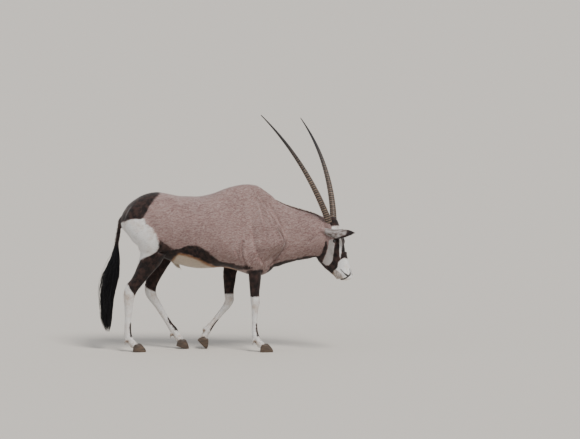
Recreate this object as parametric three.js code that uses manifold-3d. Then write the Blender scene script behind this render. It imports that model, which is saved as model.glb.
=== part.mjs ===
// A gemsbok bull, life size, walking with its head lowered, as one still model.
// Millimetres, +X towards the head, +Y to the animal's left, +Z up.
// Each limb is a tube swept through stations; the flesh is joined and then parted by thin cuts.
import * as THREE from "three";
import { mergeVertices } from "three/addons/utils/BufferGeometryUtils.js";
import Module from "manifold-3d";

const wasm = await Module();
wasm.setup();

// Driving dimensions
const GAP = 0.3; // left between parts that touch
const WELDS = [0.02, 0.001, 0.001]; // corners nearer than these are made one, in turn
const HORN_LENGTH = 940; // along the curve
const HORN_RADIUS = 25; // at the base
const HORN_RINGS = 15;
const HORN_ROOT = 24; // how deep the horn is set in the skull
const HORN_SPLAY = 19; // degrees outwards from the midline
const HORN_CLOSING = 7; // degrees of splay lost from the base to the tip
const HORN_LEAN_BASE = 13.8; // degrees back from the vertical
const HORN_LEAN_TIP = 45.2;
const HEAD_TURN = -25; // degrees about the vertical, towards the animal's right
const HEAD_ROLL = -5; // degrees, the left side lower
const FACE_LEAN = 17; // degrees between the face and the vertical
const FOREHEAD = [988, -75, 940]; // midline point in front of the horn bases
const EYE_RADIUS = 21;
const EYE_AT = { down: 135, out: -24, left: 49 }; // from the forehead, in the head's frame
const EAR_LENGTH = 246;
const EAR_SAG = 18; // how far its middle hangs below the line from root to tip
const CLAW_LENGTH = 98;
const CLAW_HEIGHT = 56;
const CLAW_SPREAD = 24; // from the foot's middle to each claw's middle
const FLAT_BITE = 5; // how much of a tipped toe the floor takes off
const TUFT_TOP = 815; // heights of the hanging tail hair
const TUFT_END = 130;
const TUFT_LOCKS = 28;
const MANE_LOCKS = 22;

const SIDE_LEFT = 1;
const SIDE_RIGHT = -1;
const X_AXIS = new THREE.Vector3(1, 0, 0);
const Y_AXIS = new THREE.Vector3(0, 1, 0);
const UP = new THREE.Vector3(0, 0, 1);
const DOWN = new THREE.Vector3(0, 0, -1);
const radians = THREE.MathUtils.degToRad;
const lerp = THREE.MathUtils.lerp;

const COLOURS = {
  fawn: 0x9b8580,
  dark: 0x2e2523,
  white: 0xdcd8d3,
  horn: 0x4a423a,
  hoof: 0x5a4636,
  eye: 0x120c0a,
  ear: 0xb5aeaa,
};
const material = (colour, roughness = 0.85) =>
  new THREE.MeshStandardMaterial({ color: colour, roughness, metalness: 0 });

// A repeatable sequence of numbers from 0 to 1.
function seeded(seed) {
  let state = seed;
  return () => {
    state = (state * 1664525 + 1013904223) % 4294967296;
    return state / 4294967296;
  };
}

// Catmull-Rom curve through rows of numbers, with the rows kept.
function through(rows, steps) {
  const out = [];
  for (let i = 0; i < rows.length - 1; i++) {
    const p0 = rows[Math.max(i - 1, 0)];
    const p1 = rows[i];
    const p2 = rows[i + 1];
    const p3 = rows[Math.min(i + 2, rows.length - 1)];
    for (let k = 0; k < steps; k++) {
      const t = k / steps;
      out.push(
        p1.map((v, c) => {
          const a = 2 * v;
          const b = p2[c] - p0[c];
          const d = 2 * p0[c] - 5 * v + 4 * p2[c] - p3[c];
          const e = -p0[c] + 3 * v - 3 * p2[c] + p3[c];
          return 0.5 * (a + b * t + d * t * t + e * t * t * t);
        }),
      );
    }
  }
  out.push(rows[rows.length - 1]);
  return out;
}

function solid(geometry, tolerance = 1e-4) {
  const merged = mergeVertices(geometry, tolerance);
  return new wasm.Manifold(
    new wasm.Mesh({
      numProp: 3,
      vertProperties: new Float32Array(merged.attributes.position.array),
      triVerts: new Uint32Array(merged.index.array),
    }),
  );
}

// A closed tube through stations of [x, y, z, side, up, down, squareness, taper].
// side, up and down are half sizes of the section, and taper widens its upper half.
// With facing, every section is square to that one direction.
function tube(stations, { sides = 16, lateral = Y_AXIS, facing = null, grow = 0 } = {}) {
  const centres = stations.map((s) => new THREE.Vector3(s[0], s[1], s[2]));
  const last = stations.length - 1;
  const points = [];
  stations.forEach((s, i) => {
    const next = centres[Math.min(i + 1, last)].clone();
    const along = facing ?? next.sub(centres[Math.max(i - 1, 0)]).normalize();
    const side = lateral.clone().addScaledVector(along, -along.dot(lateral)).normalize();
    const up = along.clone().cross(side);
    const power = 2 / (s[6] ?? 2);
    for (let j = 0; j < sides; j++) {
      const angle = (2 * Math.PI * j) / sides;
      const c = Math.cos(angle);
      const n = Math.sin(angle);
      const wide = Math.sign(c) * Math.abs(c) ** power * (s[3] + grow) * (1 + (s[7] ?? 0) * n);
      const high = Math.sign(n) * Math.abs(n) ** power * ((n > 0 ? s[4] : s[5]) + grow);
      points.push(centres[i].clone().addScaledVector(side, wide).addScaledVector(up, high));
    }
    if (grow && (i === 0 || i === last)) {
      const outwards = i === 0 ? -grow : grow;
      for (let j = 0; j < sides; j++) points[points.length - 1 - j].addScaledVector(along, outwards);
      centres[i].addScaledVector(along, outwards);
    }
  });
  const faces = [];
  for (let i = 0; i < last; i++)
    for (let j = 0; j < sides; j++) {
      const a = i * sides + j;
      const b = i * sides + ((j + 1) % sides);
      faces.push(a, b, b + sides, a, b + sides, a + sides);
    }
  const tail = points.push(centres[0]) - 1;
  const tip = points.push(centres[last]) - 1;
  for (let j = 0; j < sides; j++) {
    const next = (j + 1) % sides;
    faces.push(tail, next, j, tip, last * sides + j, last * sides + next);
  }
  const geometry = new THREE.BufferGeometry().setFromPoints(points);
  geometry.setIndex(faces);
  return solid(geometry);
}

const join = (pieces) => pieces.reduce((whole, piece) => whole.add(piece));

function ellipsoid(centre, radii, turn = new THREE.Matrix4(), detail = 12) {
  const geometry = new THREE.SphereGeometry(1, detail, Math.round(detail * 0.7));
  geometry.deleteAttribute("normal");
  geometry.deleteAttribute("uv");
  geometry.scale(...radii).applyMatrix4(turn).translate(...centre);
  return solid(geometry);
}

// An outline in the plane across the body, drawn out along X.
function slab(outline, fromX, toX) {
  const shape = new THREE.Shape(outline.map(([y, z]) => new THREE.Vector2(y, z)));
  const geometry = new THREE.ExtrudeGeometry(shape, { depth: toX - fromX, bevelEnabled: false });
  geometry.deleteAttribute("normal");
  geometry.deleteAttribute("uv");
  const turn = new THREE.Matrix4().set(0, 0, 1, fromX, 1, 0, 0, 0, 0, 1, 0, 0, 0, 0, 0, 1);
  return solid(geometry.applyMatrix4(turn));
}

// Everything on the far side of a plane, as a big box.
function beyond(point, normal) {
  const reach = 2000;
  const geometry = new THREE.BoxGeometry(reach, reach, reach).translate(0, 0, reach / 2);
  geometry.deleteAttribute("normal");
  geometry.deleteAttribute("uv");
  const direction = new THREE.Vector3(...normal).normalize();
  const turn = new THREE.Quaternion().setFromUnitVectors(new THREE.Vector3(0, 0, 1), direction);
  geometry.applyQuaternion(turn).translate(...point);
  return solid(geometry);
}

// Keeps the largest closed surface of a solid.
function largest(whole) {
  return whole.decompose().reduce((a, b) => (a.volume() > b.volume() ? a : b));
}

// Splits a solid by a plane, with the thin gap between the two.
function part(whole, point, normal) {
  const direction = new THREE.Vector3(...normal).normalize().multiplyScalar(GAP);
  const shifted = point.map((v, i) => v + direction.getComponent(i));
  return {
    behind: whole.subtract(beyond(point, normal)),
    ahead: whole.intersect(beyond(shifted, normal)),
  };
}

// Head frame: along the face, out of the face, and to the left.
const headTurn = new THREE.Matrix4()
  .makeRotationZ(radians(HEAD_TURN))
  .multiply(new THREE.Matrix4().makeRotationX(radians(HEAD_ROLL)));
const faceDown = new THREE.Vector3(Math.sin(radians(FACE_LEAN)), 0, -Math.cos(radians(FACE_LEAN)))
  .applyMatrix4(headTurn);
const headLeft = new THREE.Vector3(0, 1, 0).applyMatrix4(headTurn);
const faceOut = faceDown.clone().cross(headLeft);
const headForward = new THREE.Vector3(1, 0, 0).applyMatrix4(headTurn);
const headUp = new THREE.Vector3(0, 0, 1).applyMatrix4(headTurn);
const headPoint = (down, out, left) =>
  new THREE.Vector3(...FOREHEAD)
    .addScaledVector(faceDown, down)
    .addScaledVector(faceOut, out)
    .addScaledVector(headLeft, left);

function torso() {
  // x, top, bottom, half width, height of the widest level, squareness, taper
  const stations = [
    [-572, 965, 905, 26, 935, 2, 0],
    [-556, 1003, 880, 62, 940, 2, 0],
    [-520, 1055, 838, 114, 935, 2.1, 0.02],
    [-470, 1096, 778, 156, 930, 2.2, 0],
    [-400, 1133, 735, 184, 930, 2.2, -0.04],
    [-320, 1149, 700, 198, 925, 2.25, -0.08],
    [-240, 1139, 665, 205, 900, 2.25, -0.06],
    [-160, 1123, 632, 214, 885, 2.2, -0.04],
    [-80, 1119, 608, 226, 875, 2.15, -0.04],
    [0, 1120, 599, 236, 870, 2.15, -0.06],
    [90, 1140, 602, 239, 865, 2.1, -0.12],
    [160, 1167, 606, 232, 860, 2.1, -0.22],
    [230, 1190, 594, 220, 850, 2.1, -0.32],
    [300, 1204, 572, 205, 840, 2.1, -0.42],
    [350, 1207, 556, 195, 830, 2.1, -0.46],
    [410, 1198, 546, 178, 820, 2.1, -0.46],
    [465, 1166, 556, 158, 815, 2.1, -0.42],
    [520, 1124, 590, 130, 810, 2.1, -0.35],
    [565, 1080, 640, 96, 815, 2, -0.25],
    [595, 1030, 700, 55, 830, 2, -0.2],
  ];
  const rows = stations.map(([x, top, bottom, wide, mid, square, taper]) => [
    x, 0, mid, wide, top - mid, mid - bottom, square, taper,
  ]);
  return tube(rows, { sides: 28, facing: X_AXIS });
}

// Neck from inside the shoulders to inside the skull. The mane follows its crest.
const NECK = [
  // x, y, z, half width, up, down, squareness, taper
  [430, 0, 860, 120, 270, 240, 2.1, -0.35],
  [500, -1, 855, 130, 256, 246, 2.1, -0.34],
  [570, -4, 850, 130, 226, 240, 2.1, -0.3],
  [640, -9, 846, 118, 200, 212, 2.1, -0.25],
  [710, -16, 842, 106, 182, 190, 2.1, -0.2],
  [780, -26, 835, 96, 170, 172, 2.1, -0.14],
  [850, -40, 825, 88, 158, 150, 2.1, -0.08],
  [905, -53, 812, 80, 138, 134, 2.1, 0],
  [945, -63, 800, 66, 100, 108, 2, 0],
];

// Upper end of each foreleg: the shoulder blade and arm as one flat bulge.
function shoulder(side, elbowX, elbowZ) {
  return tube(
    [
      [382, side * 48, 1120, 22, 40, 46, 2, 0],
      [402, side * 72, 1055, 38, 84, 84, 2.2, 0],
      [436, side * 106, 950, 54, 128, 110, 2.3, 0],
      [470, side * 126, 850, 66, 146, 118, 2.3, 0],
      [474, side * 136, 785, 68, 144, 122, 2.2, 0],
      [lerp(466, elbowX, 0.4), side * 130, 725, 62, 128, 112, 2.1, 0],
      [lerp(440, elbowX, 0.8), side * 122, elbowZ, 52, 96, 84, 2.1, 0],
      [lerp(400, elbowX, 0.9), side * 114, elbowZ - 55, 44, 56, 60, 2, 0],
    ],
    { sides: 18, facing: DOWN },
  );
}

// Upper end of each hind leg: rump, thigh and the fold of the flank.
function thigh(side, stifleX, stifleZ) {
  return tube(
    [
      [-368, side * 58, 1098, 26, 66, 70, 2, 0],
      [-384, side * 92, 1050, 60, 118, 112, 2.2, 0],
      [-392, side * 112, 960, 78, 158, 148, 2.3, 0],
      [-388, side * 124, 870, 84, 180, 128, 2.3, 0],
      [lerp(-372, stifleX, 0.4), side * 128, 790, 80, 160, 102, 2.2, 0],
      [lerp(-370, stifleX, 0.6), side * 124, stifleZ, 70, 116, 96, 2.1, 0],
    ],
    { sides: 20, facing: DOWN },
  );
}

// Legs from the elbow or stifle down to the pastern: x, y, z, half width, fore, aft.
const LEGS = {
  fore_right: [
    [386, -122, 680, 50, 70, 76],
    [396, -114, 620, 45, 54, 58],
    [398, -110, 560, 40, 47, 48],
    [398, -107, 500, 35, 41, 42],
    [397, -105, 440, 30, 35, 36],
    [398, -104, 398, 31, 33, 34],
    [400, -104, 362, 32, 33, 33],
    [399, -104, 325, 27, 28, 28],
    [397, -104, 285, 21, 23, 24],
    [396, -104, 215, 18, 19, 22],
    [398, -104, 155, 20, 20, 24],
    [405, -104, 112, 26, 24, 29],
    [422, -104, 78, 25, 21, 26],
    [446, -104, 50, 30, 22, 29],
    [456, -104, 34, 24, 14, 20],
  ],
  fore_left: [
    [250, 122, 680, 50, 66, 74],
    [228, 114, 620, 46, 58, 58],
    [214, 108, 560, 42, 52, 50],
    [210, 105, 500, 37, 45, 44],
    [207, 103, 440, 31, 38, 37],
    [208, 102, 396, 32, 34, 34],
    [208, 102, 356, 33, 34, 30],
    [192, 101, 320, 28, 29, 26],
    [166, 101, 284, 21, 23, 22],
    [121, 100, 227, 18, 19, 20],
    [84, 100, 180, 20, 20, 22],
    [58, 100, 146, 26, 25, 27],
    [36, 100, 108, 25, 24, 24],
    [22, 100, 78, 29, 27, 25],
    [20, 100, 62, 22, 18, 17],
  ],
  hind_right: [
    [-330, -126, 745, 70, 96, 100],
    [-352, -122, 688, 62, 86, 84],
    [-382, -114, 630, 52, 70, 66],
    [-418, -107, 570, 44, 56, 52],
    [-456, -102, 510, 36, 47, 44],
    [-484, -100, 466, 32, 42, 50],
    [-505, -100, 425, 33, 42, 44],
    [-512, -100, 378, 29, 37, 38],
    [-514, -100, 325, 23, 30, 31],
    [-517, -100, 240, 19, 24, 26],
    [-519, -100, 165, 20, 24, 27],
    [-516, -100, 112, 26, 27, 31],
    [-498, -100, 78, 25, 23, 27],
    [-473, -100, 50, 30, 23, 30],
    [-463, -100, 34, 24, 14, 20],
  ],
  hind_left: [
    [-262, 126, 735, 70, 92, 98],
    [-282, 122, 670, 60, 80, 80],
    [-306, 114, 610, 50, 66, 62],
    [-332, 107, 550, 43, 56, 50],
    [-352, 103, 495, 36, 48, 44],
    [-363, 101, 452, 33, 44, 42],
    [-362, 100, 412, 33, 40, 40],
    [-345, 100, 372, 29, 33, 34],
    [-317, 100, 328, 23, 27, 27],
    [-268, 100, 246, 19, 22, 22],
    [-225, 100, 178, 20, 22, 24],
    [-197, 100, 138, 26, 27, 28],
    [-174, 100, 102, 25, 24, 26],
    [-152, 100, 72, 30, 25, 29],
    [-144, 100, 56, 23, 16, 19],
  ],
};

// Each foot: where its heel stands, and how many degrees the sole is tipped, toe down.
const FEET = {
  fore_right: { heel: [434, -104], tip: 0 },
  hind_right: { heel: [-485, -100], tip: 0 },
  hind_left: { heel: [-178, 100], tip: 17 },
  fore_left: { heel: [-22, 100], tip: 47 },
};

// One claw, its sole down, from the heel at the origin to the toe along +X.
function clawRows(inwards) {
  const level = (z, heel, toe, wide) => [0.42 * CLAW_LENGTH, 0, z, wide, heel, toe, 2.1, 0.34];
  return [
    level(0, 40, 54, 20),
    level(12, 40, 52, 20.5),
    level(30, 38, 40, 20),
    level(46, 33, 26, 18.5),
    level(CLAW_HEIGHT, 26, 15, 15),
  ].map((row) => {
    row[1] = inwards * 2 * (1 - row[2] / CLAW_HEIGHT);
    return row;
  });
}

function claw(foot, inner, grow) {
  const { heel, tip } = FEET[foot];
  const sideways = heel[1] + inner * CLAW_SPREAD;
  const shape = tube(clawRows(-inner), { sides: 16, facing: UP });
  const tipped = shape.rotate([0, tip, 0]);
  // A tipped toe comes down to the floor and is worn flat there.
  const lift = tip ? -FLAT_BITE - tipped.boundingBox().min[2] : 0;
  const room = tube(clawRows(-inner), { sides: 16, facing: UP, grow }).rotate([0, tip, 0]);
  const placed = room.translate([heel[0], sideways, lift]);
  return placed.subtract(beyond([0, 0, -grow], [0, 0, -1]));
}

// Two dewclaws behind the fetlock.
function dewclaws(foot) {
  const fetlock = LEGS[foot][11];
  const pastern = LEGS[foot][12];
  const along = new THREE.Vector3(pastern[0] - fetlock[0], 0, pastern[2] - fetlock[2]).normalize();
  const back = new THREE.Vector3(along.z, 0, -along.x);
  const at = new THREE.Vector3(fetlock[0], fetlock[1], fetlock[2])
    .addScaledVector(along, 16)
    .addScaledVector(back, 24);
  return [SIDE_LEFT, SIDE_RIGHT].map((side) =>
    tube(
      [
        [at.x - 10 * back.x, at.y + side * 14, at.z - 10 * back.z + 8, 10, 10, 10],
        [at.x + 4 * back.x, at.y + side * 16, at.z + 4 * back.z - 2, 9, 10, 10],
        [at.x + 13 * back.x, at.y + side * 17, at.z + 13 * back.z - 20, 5, 5, 5],
      ],
      { sides: 8 },
    ),
  );
}

function head() {
  // down the face, face line, jaw line, half width, level of the widest point, squareness, taper
  const stations = [
    [-42, -50, -118, 34, -84, 2, 0],
    [-26, -16, -146, 54, -80, 2, 0],
    [5, 4, -170, 66, -70, 2.1, 0],
    [45, 6, -190, 70, -62, 2.2, 0.05],
    [80, 6, -200, 72, -54, 2.3, 0.1],
    [112, 4, -205, 75, -50, 2.3, 0.14],
    [145, 4, -216, 74, -52, 2.3, 0.16],
    [180, 5, -222, 66, -64, 2.3, 0.12],
    [215, 7, -219, 57, -78, 2.3, 0.06],
    [255, 11, -190, 48, -76, 2.3, 0.04],
    [295, 15, -158, 44, -64, 2.3, 0.02],
    [335, 18, -129, 43, -50, 2.3, 0],
    [368, 18, -107, 44, -42, 2.4, 0.02],
    [393, 11, -92, 42, -38, 2.4, 0.04],
    [410, -4, -80, 33, -42, 2.2, 0.04],
    [419, -20, -68, 17, -44, 2, 0],
  ];
  const rows = stations.map(([down, face, jaw, wide, mid, square, taper]) => {
    const p = headPoint(down, mid, 0);
    return [p.x, p.y, p.z, wide, face - mid, mid - jaw, square, taper];
  });
  return tube(rows, { sides: 24, lateral: headLeft });
}

const eyeCentre = (side) => headPoint(EYE_AT.down, EYE_AT.out, side * EYE_AT.left);

function eye(side, grow) {
  const centre = eyeCentre(side);
  const size = EYE_RADIUS + grow;
  return ellipsoid(centre.toArray(), [size, size, size], new THREE.Matrix4(), 14);
}

// Lids: a raised rim round the eye, cut open by a lens-shaped slit.
function lids(side) {
  const centre = eyeCentre(side);
  const basis = new THREE.Matrix4().makeBasis(faceDown, headLeft, faceOut);
  const mound = ellipsoid(centre.toArray(), [38, EYE_RADIUS + 5, 29], basis, 14);
  const slit = ellipsoid(
    headPoint(EYE_AT.down, EYE_AT.out, side * (EYE_AT.left + EYE_RADIUS)).toArray(),
    [20, 17, 12],
    basis,
    10,
  );
  return { mound, slit };
}

// The mouth as a thin wedge, and the nostrils as slanted pits.
function faceCuts() {
  const corner = headPoint(338, -74, 0);
  const lip = headPoint(430, -52, 0);
  const along = lip.clone().sub(corner).normalize();
  const basis = new THREE.Matrix4().makeBasis(along, headLeft, along.clone().cross(headLeft));
  const mouth = new THREE.BoxGeometry(corner.distanceTo(lip), 120, 2.2);
  mouth.deleteAttribute("normal");
  mouth.deleteAttribute("uv");
  mouth.applyMatrix4(basis).translate(...corner.clone().lerp(lip, 0.5).toArray());
  const inner = tube(
    [
      [...headPoint(330, -76, 0).toArray(), 22, 12, 12],
      [...headPoint(425, -54, 0).toArray(), 22, 12, 12],
    ],
    { sides: 12, lateral: headLeft },
  );
  const nostrils = [SIDE_LEFT, SIDE_RIGHT].map((side) => {
    const turn = new THREE.Matrix4()
      .makeBasis(faceDown, headLeft, faceOut)
      .multiply(new THREE.Matrix4().makeRotationY(radians(35)))
      .multiply(new THREE.Matrix4().makeRotationX(radians(side * -30)));
    return ellipsoid(headPoint(391, -6, side * 33).toArray(), [16, 10, 5.5], turn, 10);
  });
  return join([solid(mouth).subtract(inner), ...nostrils]);
}

// Horn: a cone bent backwards in the head's midplane and splayed sideways, ringed below.
function horn(side, grow = 0) {
  const radiusAt = (t) => HORN_RADIUS * (1 - 0.56 * t - 0.32 * t * t);
  const rows = [];
  const at = headPoint(0, -45, side * 26).addScaledVector(faceDown, HORN_ROOT);
  let reached = -HORN_ROOT;
  const place = (distance, radius) => {
    const t = THREE.MathUtils.clamp(reached / HORN_LENGTH, 0, 1);
    const lean = radians(lerp(HORN_LEAN_BASE, HORN_LEAN_TIP, t));
    const splay = radians(HORN_SPLAY + HORN_CLOSING * (0.5 - t));
    const direction = headForward
      .clone()
      .multiplyScalar(-Math.sin(lean) * Math.cos(splay))
      .addScaledVector(headUp, Math.cos(lean) * Math.cos(splay))
      .addScaledVector(headLeft, side * Math.sin(splay));
    at.addScaledVector(direction, distance - reached);
    reached = distance;
    rows.push([at.x, at.y, at.z, radius, radius, radius]);
  };
  place(-HORN_ROOT, HORN_RADIUS);
  place(0, HORN_RADIUS);
  const ringed = 0.6 * HORN_LENGTH;
  const pitch = ringed / HORN_RINGS;
  for (let i = 0; i < HORN_RINGS; i++) {
    const from = 14 + i * pitch;
    const ridge = 1.6 * (1 - (0.55 * i) / HORN_RINGS);
    place(from, radiusAt(from / HORN_LENGTH) - ridge);
    place(from + 0.55 * pitch, radiusAt((from + 0.55 * pitch) / HORN_LENGTH) + ridge);
  }
  for (const t of [0.66, 0.74, 0.82, 0.9, 0.96]) place(t * HORN_LENGTH, radiusAt(t));
  place(HORN_LENGTH, 2);
  return tube(rows, { sides: 10, lateral: headLeft, grow });
}

// Ear: a leaf rolled into a cup, from its root to its tip.
const EARS = {
  right: {
    root: [39, -96, -70],
    axis: headForward.clone().addScaledVector(headUp, -0.03).addScaledVector(headLeft, 0.03),
    opens: headLeft.clone().multiplyScalar(0.85).addScaledVector(headUp, -0.5),
  },
  left: {
    root: [36, -96, 64],
    axis: headLeft.clone().addScaledVector(headForward, -0.6).addScaledVector(headUp, 0.1),
    opens: headForward.clone().addScaledVector(headUp, -0.4),
  },
};
function ear(which, grow = 0) {
  const { root, axis, opens } = EARS[which];
  const along = axis.clone().normalize();
  const out = opens.clone().addScaledVector(along, -opens.dot(along)).normalize();
  const across = along.clone().cross(out).negate();
  const base = headPoint(...root);
  const leaf = [
    [-0.14, 17, 15],
    [0, 21, 19],
    [0.14, 24, 20],
    [0.3, 31, 19],
    [0.46, 37, 17],
    [0.6, 38, 14],
    [0.74, 32, 11],
    [0.88, 19, 7],
    [1, 3, 2.2],
  ];
  const sag = across.z < 0 ? EAR_SAG : -EAR_SAG;
  const section = (t, wide, deep, shift) => {
    const p = base.clone().addScaledVector(along, t * EAR_LENGTH).addScaledVector(out, shift);
    p.addScaledVector(across, sag * Math.sin(Math.PI * Math.max(t, 0)) ** 1.5);
    return [p.x, p.y, p.z, wide, deep, deep, 2, 0];
  };
  const shell = tube(leaf.map(([t, w, d]) => section(t, w, d, 0)), {
    sides: 16, lateral: across, grow,
  });
  if (grow) return shell;
  const wall = 4.5;
  const hollow = tube(
    leaf.slice(2, -1).map(([t, w, d]) => section(t, w - wall, d + 3, 0.75 * d + wall)),
    { sides: 14, lateral: across },
  );
  return largest(shell.subtract(hollow));
}

// Tail: the skinned dock, then a long tuft of locks that hang from it.
const DOCK = [
  [-490, 0, 962, 26, 26, 26],
  [-536, 0, 966, 30, 26, 30],
  [-565, 0, 942, 25, 17, 24],
  [-580, 0, 893, 18, 14, 15],
  [-589, 0, 842, 16, 14, 15],
  [-596, 0, 800, 15, 14, 15],
  [-604, 0, 752, 13, 12, 13],
];

// Middle and half width of the tuft, fore and aft, by height.
const TUFT = [
  [815, -594, 15],
  [752, -603, 25],
  [694, -609, 35],
  [643, -620, 46],
  [586, -634, 57],
  [535, -645, 67],
  [477, -656, 63],
  [430, -666, 60],
  [369, -671, 52],
  [296, -673, 44],
  [224, -676, 37],
  [170, -674, 24],
  [130, -672, 10],
];
function tuftAt(z) {
  const i = Math.max(1, TUFT.findIndex((row) => row[0] <= z));
  const [high, low] = [TUFT[i - 1], TUFT[i]];
  const t = THREE.MathUtils.clamp((high[0] - z) / (high[0] - low[0]), 0, 1);
  return { x: lerp(high[1], low[1], t), half: lerp(high[2], low[2], t) };
}
function tuft() {
  const core = tube(
    TUFT.slice(0, -1).map(([z, x, half]) => [x, 0, z, half * 0.42, half * 0.5, half * 0.5]),
    { sides: 10 },
  );
  const random = seeded(7);
  const locks = [];
  for (let i = 0; i < TUFT_LOCKS; i++) {
    const angle = (i * 2.399963) % (2 * Math.PI);
    const start = lerp(TUFT_TOP - 40, 330, (i + 0.5 * random()) / TUFT_LOCKS);
    const end = Math.max(TUFT_END, start - lerp(250, 330, random()));
    const reach = 0.86 + 0.16 * random();
    const wave = 0.12 * (random() - 0.5);
    const rows = [0, 0.22, 0.48, 0.74, 1].map((t) => {
      const z = lerp(start, end, t);
      const { x, half } = tuftAt(z);
      const out = half * (t === 0 ? 0.3 : reach * Math.min(1, 0.62 + t)) * (1 + wave * Math.sin(4 * t));
      const flat = [9, 13, 12, 8.5, 1.6][Math.round(t * 4)];
      const thick = [5, 6.5, 6, 4, 1][Math.round(t * 4)];
      const c = Math.cos(angle);
      const s = Math.sin(angle);
      return [x + c * (out - thick), s * (out * 0.8 - thick), z, flat, thick, thick];
    });
    const lateral = new THREE.Vector3(-Math.sin(angle), Math.cos(angle), 0);
    locks.push(tube(rows, { sides: 5, lateral }));
  }
  return join([core, ...locks]);
}

// Mane: short locks that stand along the crest of the neck and lean back.
function mane() {
  const random = seeded(3);
  const crest = through(NECK.slice(0, -1), 8);
  return Array.from({ length: MANE_LOCKS }, (_, i) => {
    const row = crest[Math.round(lerp(8, crest.length - 8, i / (MANE_LOCKS - 1)))];
    const height = lerp(13, 22, random());
    const sway = 6 * (random() - 0.5);
    const z = row[2] + row[4];
    return tube(
      [
        [row[0] + 8, row[1] + sway * 0.2, z - 16, 5, 13, 13],
        [row[0], row[1] + sway * 0.5, z - 1, 4.5, 12, 13],
        [row[0] - 14, row[1] + sway, z + height * 0.7, 3, 8, 7],
        [row[0] - 26, row[1] + sway * 1.4, z + height, 1, 2, 2],
      ],
      { sides: 6 },
    );
  });
}

// The belly fold of the bull.
function sheath() {
  return tube(
    [
      [-236, 0, 706, 16, 20, 26],
      [-200, 0, 672, 17, 16, 24],
      [-165, 0, 628, 14, 11, 17],
      [-140, 0, 596, 8, 7, 8],
      [-132, 0, 586, 3, 3, 3],
    ],
    { sides: 12 },
  );
}

// Wedge that takes in one leg: its roof is low at the midline and high at the flank.
function legWedge(side, fromX, toX, crotch, flank, grow) {
  const inner = side * (8 - grow);
  const outer = side * 400;
  const outline = [
    [inner, -50],
    [outer, -50],
    [outer, flank + grow],
    [inner, crotch + grow],
  ];
  if (side === SIDE_RIGHT) outline.reverse();
  return slab(outline, fromX - grow, toX + grow);
}

const WEDGES = {
  fore_right: [SIDE_RIGHT, 275, 525, 535, 985],
  fore_left: [SIDE_LEFT, -60, 525, 535, 985],
  hind_right: [SIDE_RIGHT, -640, -215, 610, 1110],
  hind_left: [SIDE_LEFT, -640, -100, 610, 1110],
};

const upperLegs = [
  shoulder(SIDE_RIGHT, 388, 665),
  shoulder(SIDE_LEFT, 250, 665),
  thigh(SIDE_RIGHT, -318, 735),
  thigh(SIDE_LEFT, -262, 735),
];
const legNames = Object.keys(LEGS);
const claws = legNames.flatMap((leg) => {
  const outwards = WEDGES[leg][0];
  return [["outer", outwards], ["inner", -outwards]].map(([place, inner]) => ({
    name: `hoof_${leg}_${place}`,
    solid: claw(leg, inner, 0),
    room: claw(leg, inner, GAP),
  }));
});

const eyes = [SIDE_LEFT, SIDE_RIGHT];
const sideNames = { [SIDE_LEFT]: "left", [SIDE_RIGHT]: "right" };
const lidParts = eyes.map(lids);
let skull = join([head(), ...lidParts.map((lid) => lid.mound)]);
for (const lid of lidParts) skull = skull.subtract(lid.slit);
skull = skull.subtract(faceCuts());

let flesh = join([torso(), tube(NECK, { sides: 24 }), sheath(), ...upperLegs, ...mane(), skull]);
for (const leg of legNames)
  flesh = join([flesh, tube(LEGS[leg], { sides: 16 }), ...dewclaws(leg)]);
for (const side of eyes) flesh = flesh.subtract(eye(side, GAP)).subtract(horn(side, GAP));
for (const which of Object.keys(EARS)) flesh = flesh.subtract(ear(which, GAP));
for (const { room } of claws) flesh = flesh.subtract(room);
flesh = flesh.subtract(tube(DOCK, { sides: 14, grow: GAP }));

const nodes = [];
const add = (name, body, look) => nodes.push({ name, body: largest(body), look });

function surface(body) {
  const { vertProperties, triVerts } = body.getMesh();
  const geometry = new THREE.BufferGeometry();
  geometry.setAttribute("position", new THREE.BufferAttribute(vertProperties, 3));
  geometry.setIndex(new THREE.BufferAttribute(triVerts, 1));
  return geometry;
}

// Part the legs, then the neck and the head, from the flesh.
const atNeck = part(flesh, [590, 0, 840], [0.97, 0, 0.24]);
const atHead = part(atNeck.ahead, [850, -45, 790], [0.95, -0.25, -0.2]);
let rest = atNeck.behind;
for (const leg of legNames) {
  add(`leg_${leg}`, rest.intersect(legWedge(...WEDGES[leg], 0)), material(COLOURS.white));
  rest = rest.subtract(legWedge(...WEDGES[leg], GAP));
}
add("torso", rest, material(COLOURS.fawn));
add("neck", atHead.behind, material(COLOURS.fawn));
add("head", atHead.ahead, material(COLOURS.dark));
for (const side of eyes) {
  add(`eye_${sideNames[side]}`, eye(side, 0), material(COLOURS.eye, 0.1));
  add(`horn_${sideNames[side]}`, horn(side), material(COLOURS.horn, 0.5));
}
for (const which of Object.keys(EARS)) add(`ear_${which}`, ear(which), material(COLOURS.ear));
for (const hoof of claws) add(hoof.name, hoof.solid, material(COLOURS.hoof, 0.5));
add("tail_dock", tube(DOCK, { sides: 14 }), material(COLOURS.dark));
add("tail_tuft", tuft().subtract(tube(DOCK, { sides: 14, grow: GAP })), material(COLOURS.dark));

// Stand the model on the floor with its middle over the origin.
const low = new THREE.Vector3(Infinity, Infinity, Infinity);
const high = low.clone().negate();
for (const { body } of nodes) {
  const box = body.boundingBox();
  low.min(new THREE.Vector3(...box.min));
  high.max(new THREE.Vector3(...box.max));
}
const shift = [-(low.x + high.x) / 2, -(low.y + high.y) / 2, -low.z];

const model = new THREE.Group();
for (const { name, body, look } of nodes) {
  // Corners closer than a weld become one, and what that pinches off is dropped.
  let whole = body.translate(shift);
  for (const weld of WELDS) whole = largest(solid(surface(whole), weld));
  const geometry = surface(whole);
  geometry.computeVertexNormals();
  const mesh = new THREE.Mesh(geometry, look);
  mesh.name = name;
  model.add(mesh);
}

export default model;
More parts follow.
